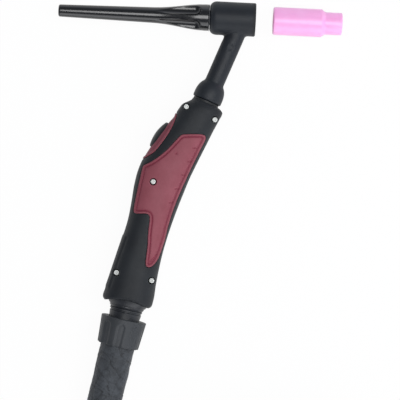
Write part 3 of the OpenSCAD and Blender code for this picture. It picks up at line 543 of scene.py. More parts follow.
def handleSkin(x, turn, inset=0):
    # a point of the skin; turn 0 is the palm edge, half a circle the trigger edge
    reach = reachAt(x)
    middle = (reach[..., 1] - reach[..., 0]) / 2
    wide, deep = (reach[..., 1] + reach[..., 0]) / 2 - inset, reach[..., 2] - inset
    power = 2 / handle["roundness"]
    c, s = np.cos(turn), np.sin(turn)
    return np.stack([x + 0 * turn, middle + wide * np.sign(c) * np.abs(c)**power,
                     deep * np.sign(s) * np.abs(s)**power], axis=-1)


def roundCorners(outline, rounds=3):
    points = np.array(outline, float)
    for _ in range(rounds):
        after = np.roll(points, -1, axis=0)
        points = np.stack([points * 0.78 + after * 0.22, points * 0.22 + after * 0.78], axis=1).reshape(-1, 2)
    return points


def grow(outline, distance):
    ahead = np.roll(outline, -1, axis=0) - np.roll(outline, 1, axis=0)
    normal = np.stack([ahead[:, 1], -ahead[:, 0]], axis=1)
    normal /= np.linalg.norm(normal, axis=1)[:, None]
    area = np.sum(outline[:, 0] * np.roll(outline[:, 1], -1) - np.roll(outline[:, 0], -1) * outline[:, 1])
    return outline + normal * distance * (1 if area > 0 else -1)


def lineDistance(x, y, line, closed=False):
    # distance to a line of points, and for a closed one negative inside it
    best = np.full(x.shape, 1e9)
    inside = np.zeros(x.shape, bool)
    line = [tuple(p) for p in line]
    for (ax, ay), (bx, by) in zip(line, line[1:] + (line[:1] if closed else [])):
        dx, dy = bx - ax, by - ay
        t = np.clip(((x - ax) * dx + (y - ay) * dy) / max(dx * dx + dy * dy, 1e-12), 0, 1)
        best = np.minimum(best, np.hypot(x - ax - t * dx, y - ay - t * dy))
        if closed and ay != by:
            inside ^= ((ay > y) != (by > y)) & (x < ax + (y - ay) * dx / (dy if dy else 1))
    return np.where(inside, -best, best) if closed else best


def roundOff(distance, radius):
    # how far an edge's round falls, at a distance in from the edge
    d = np.clip(distance, 0, radius)
    return radius - np.sqrt(radius**2 - (radius - d)**2)


gripEdge = roundCorners(handle["grip"])
bezelEdge = roundCorners(handle["bezel"], 2)
beyond = 30  # tools that cut the handle reach this far to each side

# the round at the cable end is fullest at the handle's two corners, of which the trigger's is the sharper
rimShape = {"middle": 45, "radius": 42, "round": 2.2, "cornerRound": 0.9, "cornerDeep": 13,
            "begins": 2.2, "cornerBegins": 2.0, "palmLess": 0.6, "palmFrom": -4, "palmRun": 8,
            "triggerSharper": 0.18, "slope": 2}
rimCentre = (swivelInHandle @ Vector((rimShape["middle"] * mm, 0, 0))) / mm


def rimFall(x, y, z):
    c = rimShape
    rim = np.hypot(x - rimCentre.x, y - rimCentre.y) - c["radius"]
    corner = np.clip(1 - np.abs(z) / c["cornerDeep"], 0, 1)
    palm = ease((y - c["palmFrom"]) / c["palmRun"])
    radius = c["round"] + c["cornerRound"] * corner
    begins = c["begins"] + corner * (c["cornerBegins"] - c["palmLess"] * palm)
    past = np.maximum(0, begins - rim) / (1 - c["triggerSharper"] * corner * (1 - palm))
    within = np.minimum(past, radius)
    return radius - np.sqrt(radius**2 - within**2) + c["slope"] * (past - within)


# a raised strip runs along the trigger edge near the cable
stripShape = {"from": 105.6, "fromRun": 1.4, "to": 144.5, "toRun": 3,
              "line": 0.16, "lineWidth": 0.6, "fall": 0.4, "fallRun": 1.6}


def stripDent(x, y):
    c = stripShape
    strip = lineDistance(x, y, handle["strip"])
    outer = y < np.interp(x, *np.transpose(handle["strip"]))
    here = ease((x - c["from"]) / c["fromRun"]) * ease((c["to"] - x) / c["toRun"])
    return here * (c["line"] * onLine(strip, c["lineWidth"])
                   - c["fall"] * np.where(outer, ease(strip / c["fallRun"]), 0))


def shellDent(x, y, z, side):
    # how far the skin is sunk: at the rim, the seam, the screw holes and the inlays' edges
    dent = np.maximum(rimFall(x, y, z), roundOff(np.abs(z), handle["edge"]))
    for px, py in handle["screws"] if side > 0 else []:
        dent = np.maximum(dent, roundOff(np.hypot(x - px, y - py) - handle["screwHole"], 0.4))
    for edge in (gripEdge, bezelEdge):
        away = lineDistance(x, y, grow(edge, handle["fit"]), True)
        dent = np.maximum(dent, np.where(away > -0.6, roundOff(away, handle["edge"]), 0))
    return dent + stripDent(x, y)


def shellSkin(x, t, side):
    # the outer skin, with the round at the neck's end, which is wider on the palm side
    flat = handleSkin(x, t)
    fromFront = np.clip((x - handle["front"]) / handle["frontRound"], 0, 1)
    frontDent = (0.15 + 0.6 * (1 + np.cos(t)) / 2) * (1 - np.sqrt(1 - (1 - fromFront)**2))
    return handleSkin(x, t, shellDent(flat[..., 0], flat[..., 1], flat[..., 2], side) + frontDent)


def shellLining(x, t):
    # the wall's inner face, and the round mouth for the neck
    lining = handleSkin(x, t, handle["wall"])
    inner = handleSkin(x, t, handle["wall"] + rimFall(lining[..., 0], lining[..., 1], lining[..., 2]))
    mouth = np.stack([x, handle["mouth"] * np.cos(t), handle["mouth"] * np.sin(t)], axis=-1)
    return np.where((x < handle["mouthEnd"])[..., None], mouth, inner)


def makeShell(name, side):
    mouthEnd = handle["mouthEnd"]
    frontArc = [handle["front"] + handle["frontRound"] * (1 - math.cos(math.radians(a)))
                for a in range(0, 90, 15)]
    stations = np.array(frontArc + list(np.arange(2.6, mouthEnd, 0.5)) + [mouthEnd - 0.02, mouthEnd + 0.02]
        + list(np.arange(13.1, handle["end"], 0.55)) + [handle["end"]])
    seam = np.array([0, 0.004, 0.012])  # finer rows beside the seam
    turns = np.concatenate([seam, np.linspace(0.024, math.pi - 0.024, 110), math.pi - seam[::-1]])
    outer = shellSkin(*np.meshgrid(stations, turns), side)
    inner = shellLining(*np.meshgrid(stations, np.linspace(math.pi, 0, 41)))
    points = np.concatenate([outer, inner, outer[:1]])
    seamGap = 0.01
    points[..., 2] = np.where(np.abs(points[..., 2]) < seamGap, 0, points[..., 2])
    points[..., 2] = (points[..., 2] + seamGap) * side
    shell = wrapGrid(name, points)
    carve(shell, cylinderTool(rimCentre.x, rimCentre.y, -beyond, beyond, rimShape["radius"], 256))
    bpy.ops.mesh.primitive_uv_sphere_add(
        segments=128, ring_count=64, radius=(swivel["ball"] + handle["ballRoom"]) * mm,
        location=(swivel["at"][0] * mm, swivel["at"][1] * mm, 0))
    carve(shell, settle(bpy.context.object))
    low, high = (2, beyond) if side > 0 else (-beyond, -2)
    carve(shell, pocket(grow(gripEdge, handle["fit"]), low, high))
    carve(shell, pocket(grow(bezelEdge, handle["fit"]), -beyond, beyond))
    carve(shell, padTool())
    for px, py in handle["screws"] if side > 0 else []:
        carve(shell, cylinderTool(px, py, 3, beyond, handle["screwHole"], 48))
    return settle(soften(shell, 30), handlePlace)


def pocket(outline, low, high):
    # the space an inlay fills: its outline, down to the inlay's depth below the skin
    space = prism("pocket", outline, low, high)
    x, t = np.meshgrid(np.arange(6, 138, 1.0), np.linspace(0, 2 * math.pi, 145))
    points = handleSkin(x, t, handle["inlay"] + handle["hidden"])
    points[-1] = points[0]
    return carve(space, wrapGrid("below", points))


padSize = {"at": (34, -20.4), "lean": -12.1, "length": 20, "width": 13, "rise": 2.6, "round": 7.8,
           "bow": 54, "edge": 0.7, "depth": 4.2, "rim": 1.2, "rimEdge": 0.3, "flange": 1, "hollow": 2,
           "slot": 0.3, "slotOut": 9, "slotIn": 8}
padInHandle = standing(padSize["at"], padSize["lean"])


def stadium(room, count=96):
    half, r = (padSize["length"] - padSize["width"]) / 2, padSize["width"] / 2 + room
    points = []
    for k in range(count):
        a = 2 * math.pi * k / count
        points.append(((half if math.cos(a) > 0 else -half) + r * math.cos(a), r * math.sin(a)))
    return points


def padTool():
    # the slot that the pad moves in
    tool = prism("padTool", stadium(padSize["slot"]), -padSize["slotIn"], padSize["slotOut"])
    tool.rotation_euler = (math.radians(90), 0, 0)
    return settle(settle(tool), padInHandle)


def markPaintedShade(piece, depthAt):
    # painted shade: grooves, marks and sunk fields keep a deeper colour than the field around them, as shade
    # falls there;
    # their depth goes to the finish, point by point
    points = np.zeros(len(piece.data.vertices) * 3, np.float32)
    piece.data.vertices.foreach_get("co", points)
    points = points.reshape(-1, 3) / mm
    mark = piece.data.attributes.new("groove", "FLOAT", "POINT")
    mark.data.foreach_set("value", depthAt(points[:, 0], points[:, 1]).astype(np.float32))


def toMarks(x, y):
    # how far it is to each of the grip's moulded marks: the ticks, the stroke and the dot
    ax, ay = handle["tickAlong"]
    ticks = [lineDistance(x, y, [(tx - 2 * ax, ty - 2 * ay), (tx + 2 * ax, ty + 2 * ay)])
             for tx, ty in handle["ticks"]]
    dot = np.hypot(x - handle["dot"][0], y - handle["dot"][1])
    return ticks, lineDistance(x, y, handle["stroke"]), dot


# painted shade in the groove inside the grip's raised rim and in its moulded ticks, stroke and dot
def gripPaintedShade(x, y):
    inward = -lineDistance(x, y, gripEdge, True)
    depth = ease((inward - 0.9) / 0.5) * (1 - 0.85 * ease((inward - 1.9) / 1.1))
    depth = np.where(inward > 3.2, 0, depth)
    ticks, stroke, dot = toMarks(x, y)
    for tick in ticks:
        depth = np.maximum(depth, 0.8 * onLine(tick, 0.5))
    return np.maximum(np.maximum(depth, onLine(stroke, 0.6)), onLine(dot, 0.8))


# painted shade on the bezel's sunk field, inside its raised lip
def bezelPaintedShade(x, y):
    inward = -lineDistance(x, y, bezelEdge, True)
    return 0.85 * ease((inward - 0.9) / 0.7)


def inlaySkin(stations, turns, liningStep, dentAt):
    # a patch of the handle's skin, sunk as dentAt says, with a coarser lining behind it
    x, t = np.meshgrid(stations, turns)
    outer = handleSkin(x, t, dentAt(np.moveaxis(handleSkin(x, t), -1, 0)))
    inner = handleSkin(*np.meshgrid(stations, turns[::-liningStep]), handle["inlay"] - handle["hidden"])
    return np.concatenate([outer, inner, outer[:1]])


# the grip inserts: a raised rim, a groove inside it, and the field with its marks
gripShape = {"rise": 0.3, "round": 0.55, "grooveAt": 1.75, "groove": 0.5, "grooveWidth": 0.42,
             "fieldFrom": 1.2, "fieldRun": 0.9, "tick": 0.4, "tickWidth": 0.38, "stroke": 0.45,
             "strokeWidth": 0.5, "dot": 0.4, "dotWidth": 0.75, "screw": 2}


def makeInsert(name, side):
    c = gripShape
    hole = handle["screws"][c["screw"]]

    def dentAt(skin):
        x, y = skin[:2]
        inward = -lineDistance(x, y, gripEdge, True)
        dent = -c["rise"] + roundOff(inward, c["round"]) + c["groove"] * onLine(
            inward - c["grooveAt"], c["grooveWidth"])
        dent = dent + c["rise"] * ease((inward - c["fieldFrom"]) / c["fieldRun"])
        ticks, stroke, dot = toMarks(x, y)
        for tick in ticks:
            dent = dent + c["tick"] * onLine(tick, c["tickWidth"])
        dent = dent + c["stroke"] * onLine(stroke, c["strokeWidth"])
        dent = dent + c["dot"] * onLine(dot, c["dotWidth"])
        if side > 0:
            dent = dent + roundOff(np.hypot(x - hole[0], y - hole[1]) - handle["screwHole"], 0.35)
        return dent
    points = inlaySkin(np.arange(20.6, 121.2, 0.42), np.linspace(0.3, math.pi - 0.32, 176), 4, dentAt)
    points[..., 2] *= side
    insert = wrapGrid(name, points)
    low, high = (2.2, beyond) if side > 0 else (-beyond, -2.2)
    carve(insert, prism("edge", gripEdge, low, high), "INTERSECT")
    if side > 0:
        carve(insert, cylinderTool(hole[0], hole[1], 3, beyond, handle["screwHole"], 48))
    markPaintedShade(insert, gripPaintedShade)
    return settle(soften(insert, 30), handlePlace)


# the trigger's bezel: a raised lip round a sunk field, with a rounded slot for the pad
bezelShape = {"rise": 0.25, "round": 0.5, "slotRound": 0.5, "sink": 0.5, "fieldFrom": 0.9, "fieldRun": 0.8}


def makeBezel():
    c = bezelShape
    slot = np.array(stadium(padSize["slot"]))
    lean = math.radians(-padSize["lean"])

    def dentAt(skin):
        x, y, z = skin
        inward = -lineDistance(x, y, bezelEdge, True)
        slotX = (x - padSize["at"][0]) * math.cos(lean) - (y - padSize["at"][1]) * math.sin(lean)
        toSlot = lineDistance(slotX, z, slot, True)
        dent = -c["rise"] + roundOff(inward, c["round"]) + np.where(
            toSlot > -0.4, roundOff(toSlot, c["slotRound"]), 0)
        return dent + c["sink"] * ease((inward - c["fieldFrom"]) / c["fieldRun"])
    turns = np.linspace(math.pi * 0.58, math.pi * 1.42, 150)
    bezel = wrapGrid("triggerBezel", inlaySkin(np.arange(12, 58, 0.4), turns, 5, dentAt))
    carve(bezel, prism("edge", bezelEdge, -beyond, beyond), "INTERSECT")
    carve(bezel, padTool())
    markPaintedShade(bezel, bezelPaintedShade)
    return settle(soften(bezel, 30), handlePlace)


def makePad():
    # rings from the crown's middle to its edge, then down the side, round the flange and in below
    c = padSize

    def crown(x, z):
        r = c["round"] - x * x / c["bow"]
        return c["round"] - c["rise"] - np.sqrt(np.maximum(r * r - z * z, 0.1))
    rings = []
    edge = np.array(stadium(0))
    for share in list(np.linspace(0, 0.93, 20)) + [0.95, 0.97, 0.985, 0.995, 1.0]:
        ring = edge * share
        drop = float(roundOff(np.array(c["width"] / 2 * (1 - share)), c["edge"]))
        rings.append(np.stack([ring[:, 0], crown(ring[:, 0], ring[:, 1]) + drop, ring[:, 1]], axis=1))
    low = c["depth"] + c["flange"]
    sides = [(c["depth"] - c["rimEdge"], 0), (c["depth"], 0.02), (c["depth"], c["rim"] - c["rimEdge"]),
             (c["depth"] + c["rimEdge"], c["rim"]), (low, c["rim"]), (low, -c["hollow"])]
    below = [(level, np.array(stadium(out))) for level, out in sides] + [(low, edge * 0.02)]
    rings += [np.stack([ring[:, 0], np.full(len(ring), level), ring[:, 1]], axis=1) for level, ring in below]
    points = np.stack(rings, axis=1)
    points = np.concatenate([points, points[:1]])
    return settle(soften(wrapGrid("triggerPad", points), 40), handlePlace @ padInHandle)


frontShell = makeShell("frontShell", 1)
backShell = makeShell("backShell", -1)
print("handle shells moulded")
frontInsert = makeInsert("frontGripInsert", 1)
backInsert = makeInsert("backGripInsert", -1)
triggerBezel = makeBezel()
triggerPad = makePad()
print("grips, bezel and trigger set in")


def skinHeight(x, y):
    reach = reachAt(np.array([float(x)]))[0]
    middle, wide = (reach[1] - reach[0]) / 2, (reach[1] + reach[0]) / 2
    return reach[2] * (1 - (abs(y - middle) / wide)**handle["roundness"])**(1 / handle["roundness"])


screwSize = {"head": 1.8, "headRound": 0.3, "thick": 1.6, "sink": 1.2, "socket": 0.95, "socketDepth": 0.9,
             "shank": 1, "length": 14.4}


def makeScrews():
    s = screwSize
    bottom = -s["thick"] - s["length"]
    edge = s["head"] - s["headRound"]
    rounded = arcPoints(-s["headRound"], edge, s["headRound"], 0, 90, 4)[1:]
    below = [(-s["thick"], s["head"]), (-s["thick"], s["shank"]), (bottom, s["shank"]), (bottom, 0)]
    screw = spinProfile("screw", [(0, 0), (0, edge)] + rounded + below, 48)
    screw.rotation_euler = (0, math.radians(-90), 0)
    settle(screw)
    carve(screw, cylinderTool(0, 0, -s["socketDepth"], 2, s["socket"], 6))
    soften(screw, 30)
    made = []
    for px, py in handle["screws"]:
        copy = screw.copy()
        copy.data = screw.data.copy()
        bpy.context.collection.objects.link(copy)
        copy.location = (px * mm, py * mm, (skinHeight(px, py) - s["sink"]) * mm)
        made.append(settle(copy))
    bpy.data.objects.remove(screw)
    return settle(joinAll(made, "shellScrewSet"), handlePlace)


shellScrews = makeScrews()

# the swivel's ball, and its ribbed tail in the collar; each point is x and radius from the ball's centre
ballShape = {"rear": (-9.6, 9.8), "from": 132, "to": 62, "waist": 6.5, "bore": 6.1,
             "tail": [(6.9, 12.0), (7.5, 11.8), (7.9, 11.85), (8.8, 11.2), (9.3, 10.8), (9.5, 11.2),
                      (10.3, 11.15), (10.6, 10.55), (11.2, 10.5), (11.6, 10.95), (15.4, 10.5),
                      (32.5, 10.4), (32.9, 10.0)]}
swivelBall = spinProfile("swivelBall", [ballShape["rear"]]
    + arcPoints(0, 0, swivel["ball"], ballShape["from"], ballShape["to"], 40) + ballShape["tail"]
    + [(swivel["tailEnd"], ballShape["bore"]), (0, ballShape["waist"]), ballShape["rear"]], 160)
settle(soften(swivelBall, 30), swivelPlace)

collarSize = {"start": 15.9, "length": 19, "radius": 15.55, "endRadius": 14.2, "edge": 0.7, "wall": 2,
              "ribs": 9, "sink": 0.7, "arch": 3.4, "archAt": 6.5, "steep": 0.6, "gentle": 2.2,
              "bore": 10.45, "sleeveBore": 12.1, "step": 16.7, "around": 360}


def makeCollar():
    c = collarSize
    start, end, step = c["start"], c["start"] + c["length"], c["start"] + c["step"]

    def outerRadius(x):
        return c["radius"] + (c["endRadius"] - c["radius"]) * (x - start) / c["length"]
    inside = [(step, c["bore"]), (start, c["bore"]), (start, c["bore"] + c["wall"])]
    outside = [(start, c["radius"] - c["edge"])]
    outside += arcPoints(start + c["edge"], c["radius"] - c["edge"], c["edge"], 180, 90, 6)[1:]
    outside += [(x, outerRadius(x)) for x in np.arange(start + 1, end - 0.8, 0.3)]
    outside += arcPoints(end - c["edge"], outerRadius(end) - c["edge"], c["edge"], 90, 0, 5)
    profile = inside + outside + [(end, c["sleeveBore"]), (step, c["sleeveBore"]), (step, c["bore"])]
    x, r, a = turnGrid(profile, c["around"])
    pitch = 2 * math.pi / c["ribs"]
    off = ((a - math.pi / 2 + pitch / 2) % pitch - pitch / 2) * c["radius"]
    # each recess is an arch: a round top, then straight sides to the collar's end
    arch = start + c["archAt"]
    reach = np.where(x < arch, np.hypot(off, x - start - c["archAt"]), np.abs(off))
    # the arch's top wall is steep, and its side walls slope softly
    top = np.clip((arch - x) / c["arch"], 0, 1)
    sunk = c["sink"] * ease((c["arch"] - reach) / (c["steep"] * top + c["gentle"] * (1 - top)) + 0.1)
    index = np.arange(len(profile))
    skin = (index > len(inside) + 1) & (np.array(profile)[:, 1] > c["sleeveBore"] + 0.6)
    r = np.where(skin[None, :], r - np.where(x > start + 2, sunk, 0), r)
    return settle(soften(wrapTurned("clampCollar", x, r, a), 35), swivelPlace)


clampCollar = makeCollar()
print("swivel and collar made")

# webbing straps round the coil: they go through its middle and lie on the floor below it
strapSize = {"angles": (25, 215, 300), "width": 20, "thick": 1.3, "out": 138.2, "floor": -16.5,
             "corner": 5, "slack": 0.5, "edge": 0.15, "along": 180}


def strapLoop():
    # the strap's middle line, as seen along the coil, and the way out of the loop at each point
    s = strapSize
    innerTurn = cable["outerTurn"] - cable["pitch"] * cable["layerTurns"] - cable["rubberWidth"] / 2
    innerEdge = math.sqrt(innerTurn**2 - s["width"]**2 / 4) - s["slack"]
    top = s["floor"] + 1.5 + cable["rubberWidth"] + cable["pitch"] + 0.3
    corner, left, right = s["corner"], innerEdge - s["thick"] / 2, s["out"] + s["thick"] / 2
    low, high = s["floor"] + s["thick"] / 2, top + s["thick"] / 2
    path = []
    for cx, cz, start in ((right - corner, low + corner, -90), (right - corner, high - corner, 0),
                          (left + corner, high - corner, 90), (left + corner, low + corner, 180)):
        path += arcPoints(cx, cz, corner, start, start + 90, 6)
    path = np.array(path + path[:1])
    run = np.concatenate([[0], np.cumsum(np.hypot(*np.diff(path, axis=0).T))])
    even = np.linspace(0, run[-1], s["along"])
    line = np.stack([np.interp(even, run, path[:, 0]), np.interp(even, run, path[:, 1])], axis=1)
    ahead = np.stack([np.gradient(line[:, 0]), np.gradient(line[:, 1])], axis=1)
    ahead /= np.linalg.norm(ahead, axis=1)[:, None]
    return line, np.stack([ahead[:, 1], -ahead[:, 0]], axis=1)


def makeStraps():
    s = strapSize
    line, out = strapLoop()
    half, thin, edge = s["width"] / 2, s["thick"] / 2, s["edge"]
    lower = [(-half, edge - thin), (-half + 0.2, -thin), (-half / 2, -thin), (0, -thin), (half / 2, -thin),
             (half - 0.2, -thin), (half, edge - thin)]
    cross = lower + [(w, -h) for w, h in reversed(lower)]
    made = []
    for angle in s["angles"]:
        points = np.zeros((len(cross) + 1, len(line), 3))
        for k, (w, h) in enumerate(cross + cross[:1]):
            points[k, :, 0] = line[:, 0] + out[:, 0] * h
            points[k, :, 1] = w
            points[k, :, 2] = line[:, 1] + out[:, 1] * h
        points[:, -1] = points[:, 0]
        place = Matrix.Translation(coilAt * mm) @ Matrix.Rotation(math.radians(angle), 4, "Z")
        made.append(settle(wrapGrid("coilStrap", points), place))
    return soften(joinAll(made, "coilStraps"), 50)


coilStraps = makeStraps()
print("straps laid round the coil")


def colour(hexCode):
    # sRGB hex to Blender's linear colour
    channels = [int(hexCode[k:k + 2], 16) / 255 for k in (1, 3, 5)]
    return tuple(c / 12.92 if c <= 0.04045 else ((c + 0.055) / 1.055)**2.4 for c in channels) + (1,)


def addNode(tree, kind, values=None, give=0):
    # adds a node and gives one of its outputs, or with None all of them; each value is a setting, a hex
    # colour, or the output that feeds that socket
    node = tree.nodes.new("ShaderNode" + kind)
    for name, value in (values or {}).items():
        if isinstance(value, bpy.types.NodeSocket):
            tree.links.new(value, node.inputs[name])
        elif isinstance(name, int) or name in node.inputs:
            isHex = isinstance(value, str) and value.startswith("#")
            node.inputs[name].default_value = colour(value) if isHex else value
        else:
            setattr(node, name, value)
    return node.outputs if give is None else node.outputs[give]


perMetre = 1000  # a pattern's scale is this over its size in millimetres
midNoise = {"From Min": 0.3, "From Max": 0.7}  # where most of a noise's values lie


def newFinish(name):
    material = bpy.data.materials.new(name)
    material.use_nodes = True
    tree = material.node_tree
    tree.nodes.clear()
    return material, tree, addNode(tree, "TexCoord", give="Object")


def cloudedShade(tree, place, dark, light, size, detail=3, lumpy=0.5):
    # two shades that drift into each other, in clouds about size millimetres across
    clouds = addNode(tree, "TexNoise", {"Scale": perMetre / size, "Detail": detail, "Roughness": lumpy,
                                        "Vector": place})
    share = addNode(tree, "MapRange", {**midNoise, "Value": clouds})
    return clouds, addNode(tree, "Mix", {"data_type": "RGBA", 0: share, 6: dark, 7: light}, 2)


def patchyRoughness(tree, place, low, high):
    # handling and the mould leave patches about 6 mm across that shine a little more or less
    patches = addNode(tree, "TexNoise", {"Scale": perMetre / 6, "Detail": 4, "Vector": place})
    return addNode(tree, "MapRange", {**midNoise, "To Min": low, "To Max": high, "Value": patches})


def finishWith(material, tree, base, rough, height, depth, **more):
    # the surface itself: its shade, its roughness, and a relief depth millimetres deep
    relief = addNode(tree, "Bump", {"Distance": depth * mm, "Strength": 1.0, "Height": height})
    shader = addNode(tree, "BsdfPrincipled", {
        "Base Color": base, "Roughness": rough, "Normal": relief, **more})
    addNode(tree, "OutputMaterial", {"Surface": shader}, None)
    return material


def mouldedPlastic(name, dark, light, rough, grain, depth, ior, specular):
    # injection moulded: an even colour with slight clouds, and the tool's fine spark-eroded grain
    material, tree, place = newFinish(name)
    shade = cloudedShade(tree, place, dark, light, 14)[1]
    fine = addNode(tree, "TexNoise", {"Scale": perMetre / grain, "Detail": 3, "Roughness": 0.6,
                                      "Vector": place})
    roughness = patchyRoughness(tree, place, rough * 0.95, rough * 1.05)
    return finishWith(material, tree, shade, roughness, fine, depth,
                      **{"IOR": ior, "Specular IOR Level": specular})


# moulded rubber: matt, with a soft wide sheen; the trigger's is a little smoother from the thumb
headRubber = mouldedPlastic("mouldedSiliconeRubber", "#171b21", "#1d2228", 0.52, 0.6, 0.03, 1.45, 0.4)
padRubber = mouldedPlastic("mouldedTriggerRubber", "#16191c", "#1c1f22", 0.42, 0.4, 0.03, 1.47, 0.4)
# glass-filled nylon from a blasted tool: dull and even, with a dry sparkle
shellPlastic = mouldedPlastic("mouldedGlassFilledNylon", "#171a1e", "#1d2125", 0.58, 0.45, 0.03, 1.5, 0.32)
# phenolic resin pressed hot in a polished tool: near black, with a sharp line from each lamp
capPlastic = mouldedPlastic("pressedPhenolicResin", "#040508", "#080a0e", 0.19, 1.2, 0.0008, 1.55, 0.65)
# nylon: satin as moulded, and smoother where it was turned
collarNylon = mouldedPlastic("mouldedNylonCollar", "#292c2f", "#33363a", 0.55, 0.5, 0.03, 1.52, 0.45)
ballNylon = mouldedPlastic("machinedNylonBall", "#1a1c20", "#212429", 0.4, 0.8, 0.01, 1.52, 0.5)
innerNylon = mouldedPlastic("blackNylon", "#141618", "#1a1c1f", 0.6, 0.6, 0.02, 1.52, 0.5)
# fibre pressed from powder: dull and gritty, like slate
shieldFibre = mouldedPlastic("pressedHeatShieldFibre", "#16191c", "#1d2023", 0.6, 0.35, 0.05, 1.5, 0.35)
# extruded rubber and cast silicone: a soft satin, with broad highlights
hoseRubber = mouldedPlastic("extrudedCableRubber", "#181b1e", "#212427", 0.44, 0.5, 0.02, 1.5, 0.45)
sealSilicone = mouldedPlastic("siliconeSeal", "#4c4e51", "#57595c", 0.45, 0.7, 0.02, 1.42, 0.4)


def gripRubber():
    # two-shot moulded, soft to the touch: rubbed dull on the field, with painted shade that deepens its
    # colour in the grooves
    material, tree, place = newFinish("softTouchCrimsonElastomer")
    field = cloudedShade(tree, place, "#7f3e48", "#8a4853", 14)[1]
    groove = addNode(tree, "Attribute", {"attribute_name": "groove"}, "Fac")
    # painted shade: where the groove mark is high, a darker crimson is mixed in
    base = addNode(tree, "Mix", {"data_type": "RGBA", 0: groove, 6: field, 7: "#762a3b"}, 2)
    fine = addNode(tree, "TexNoise", {"Scale": perMetre / 0.4, "Detail": 3, "Roughness": 0.6,
                                      "Vector": place})
    return finishWith(material, tree, base, patchyRoughness(tree, place, 0.58, 0.68), fine, 0.04,
                      **{"IOR": 1.47, "Specular IOR Level": 0.4})


def turnedMetal(name, dark, light, rough):
    # turned on a lathe: rings 0.25 mm apart across the axis, and a slight tarnish, duller where it is darker
    material, tree, place = newFinish(name)
    tarnish, base = cloudedShade(tree, place, dark, light, 5, 4, 0.6)
    stretched = addNode(tree, "Mapping", {"Scale": (1, 0.04, 0.04), "Vector": place})
    rings = addNode(tree, "TexNoise", {"Scale": perMetre / 0.25, "Vector": stretched})
    roughness = addNode(tree, "MapRange", {**midNoise, "To Min": rough, "To Max": rough + 0.15,
                                           "Value": tarnish})
    return finishWith(material, tree, base, roughness, rings, 0.006, Metallic=1.0)


gripPlastic = gripRubber()
brass = turnedMetal("turnedBrass", "#a98443", "#c9a55e", 0.28)
copper = turnedMetal("drawnCopper", "#a7633f", "#c47f58", 0.3)
steel = turnedMetal("nickelPlatedSteel", "#b4b7b5", "#c8cac7", 0.5)
connectorSteel = turnedMetal("zincPlatedConnector", "#8f9294", "#aeb1b3", 0.32)
tungsten = turnedMetal("groundTungsten", "#7c7f83", "#95989b", 0.3)


def glazedAlumina():
    # pink alumina, pressed and fired: light soaks in a little, under a thin satin glaze
    material, tree, place = newFinish("firedPinkAlumina")
    clouds, base = cloudedShade(tree, place, "#fcaae2", "#feb5e8", 9)
    speck = addNode(tree, "TexNoise", {"Scale": perMetre / 0.5, "Vector": place})
    roughness = addNode(tree, "MapRange", {**midNoise, "To Min": 0.3, "To Max": 0.4, "Value": clouds})
    return finishWith(material, tree, base, roughness, speck, 0.006, **{
        "IOR": 1.6, "Subsurface Weight": 0.06, "Subsurface Scale": 0.002,
        "Subsurface Radius": (1.0, 0.5, 0.8), "Coat Weight": 0.15, "Coat Roughness": 0.2})


def sleeveLeather():
    # split leather, dyed black: pebbled grain, dull, with paler rubbed folds, and painted shade that darkens
    # the creases
    material, tree, place = newFinish("dyedSplitLeather")
    pebble = addNode(tree, "TexVoronoi", {"Scale": perMetre / 1.1, "feature": "SMOOTH_F1", "Smoothness": 0.6,
                                          "Vector": place})
    rub, rubbed = cloudedShade(tree, place, "#282b2f", "#44484d", 7, 4, 0.6)
    crease = addNode(tree, "Attribute", {"attribute_name": "groove"}, "Fac")
    share = addNode(tree, "MapRange", {"From Min": 0.05, "From Max": 0.4, "To Max": 0.75, "Value": crease})
    # painted shade: the deeper the crease, the more near black is mixed in
    base = addNode(tree, "Mix", {"data_type": "RGBA", 0: share, 6: rubbed, 7: "#15171a"}, 2)
    lumps = addNode(tree, "TexNoise", {"Scale": perMetre / 3, "Detail": 4, "Vector": place})
    height = addNode(tree, "Math", {"operation": "ADD", 0: pebble, 1: lumps})
    roughness = addNode(tree, "MapRange", {**midNoise, "To Min": 0.6, "To Max": 0.72, "Value": rub})
    return finishWith(material, tree, base, roughness, height, 0.25, **{
        "IOR": 1.5, "Specular IOR Level": 0.4, "Sheen Weight": 0.1, "Sheen Roughness": 0.5})


def strapWebbing():
    # woven polypropylene webbing: a check of light and dark threads about 0.8 mm wide
    material, tree, place = newFinish("wovenPolypropyleneWebbing")
    weave = addNode(tree, "TexChecker", {"Scale": perMetre / 0.8, "Color1": "#202224", "Color2": "#34373a",
                                         "Vector": place}, None)
    return finishWith(material, tree, weave["Color"], 0.7, weave["Fac"], 0.15)


alumina = glazedAlumina()
leather = sleeveLeather()
webbing = strapWebbing()

newPieces = [  # piece, finish, the body it rides on, its slot, the CAD nodes it stands in for
    (headCover, headRubber, "torch", "head_rubber", ["head_moulding"]),
    (frontShell, shellPlastic, "torch", "shell_plastic", ["front_shell"]),
    (backShell, shellPlastic, "torch", "shell_plastic", ["back_shell"]),
    (frontInsert, gripPlastic, "torch", "grip_plastic", ["front_grip_insert"]),
    (backInsert, gripPlastic, "torch", "grip_plastic", ["back_grip_insert"]),
    (triggerBezel, gripPlastic, "torch", "grip_plastic", ["trigger_bezel"]),
    (triggerPad, padRubber, "trigger", "trigger_rubber", ["trigger_pad"]),
    (shellScrews, steel, "torch", "screw_steel", ["shell_screws"]),
    (backCap, capPlastic, "back_cap", "cap_plastic", ["back_cap"]),
    (gasCup, alumina, "gas_cup", "cup_ceramic", ["gas_cup"]),
    (swivelBall, ballNylon, "cable", "black_nylon", ["swivel_ball"]),
    (clampCollar, collarNylon, "collar", "black_nylon", ["clamp_collar"]),
    (leatherSleeve, leather, "cable", "sleeve_leather", ["sleeve_lead", "sleeve_loop"]),
    (rubberCable, hoseRubber, "cable", "cable_rubber", ["cable_lead", "cable_coil"]),
    (coilStraps, webbing, "cable", "strap_webbing", ["coil_straps"]),
]
for piece, finish, body, slotName, replaced in newPieces:
    piece.data.materials.clear()
    piece.data.materials.append(finish)
    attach(piece, body)
    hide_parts(*replaced)

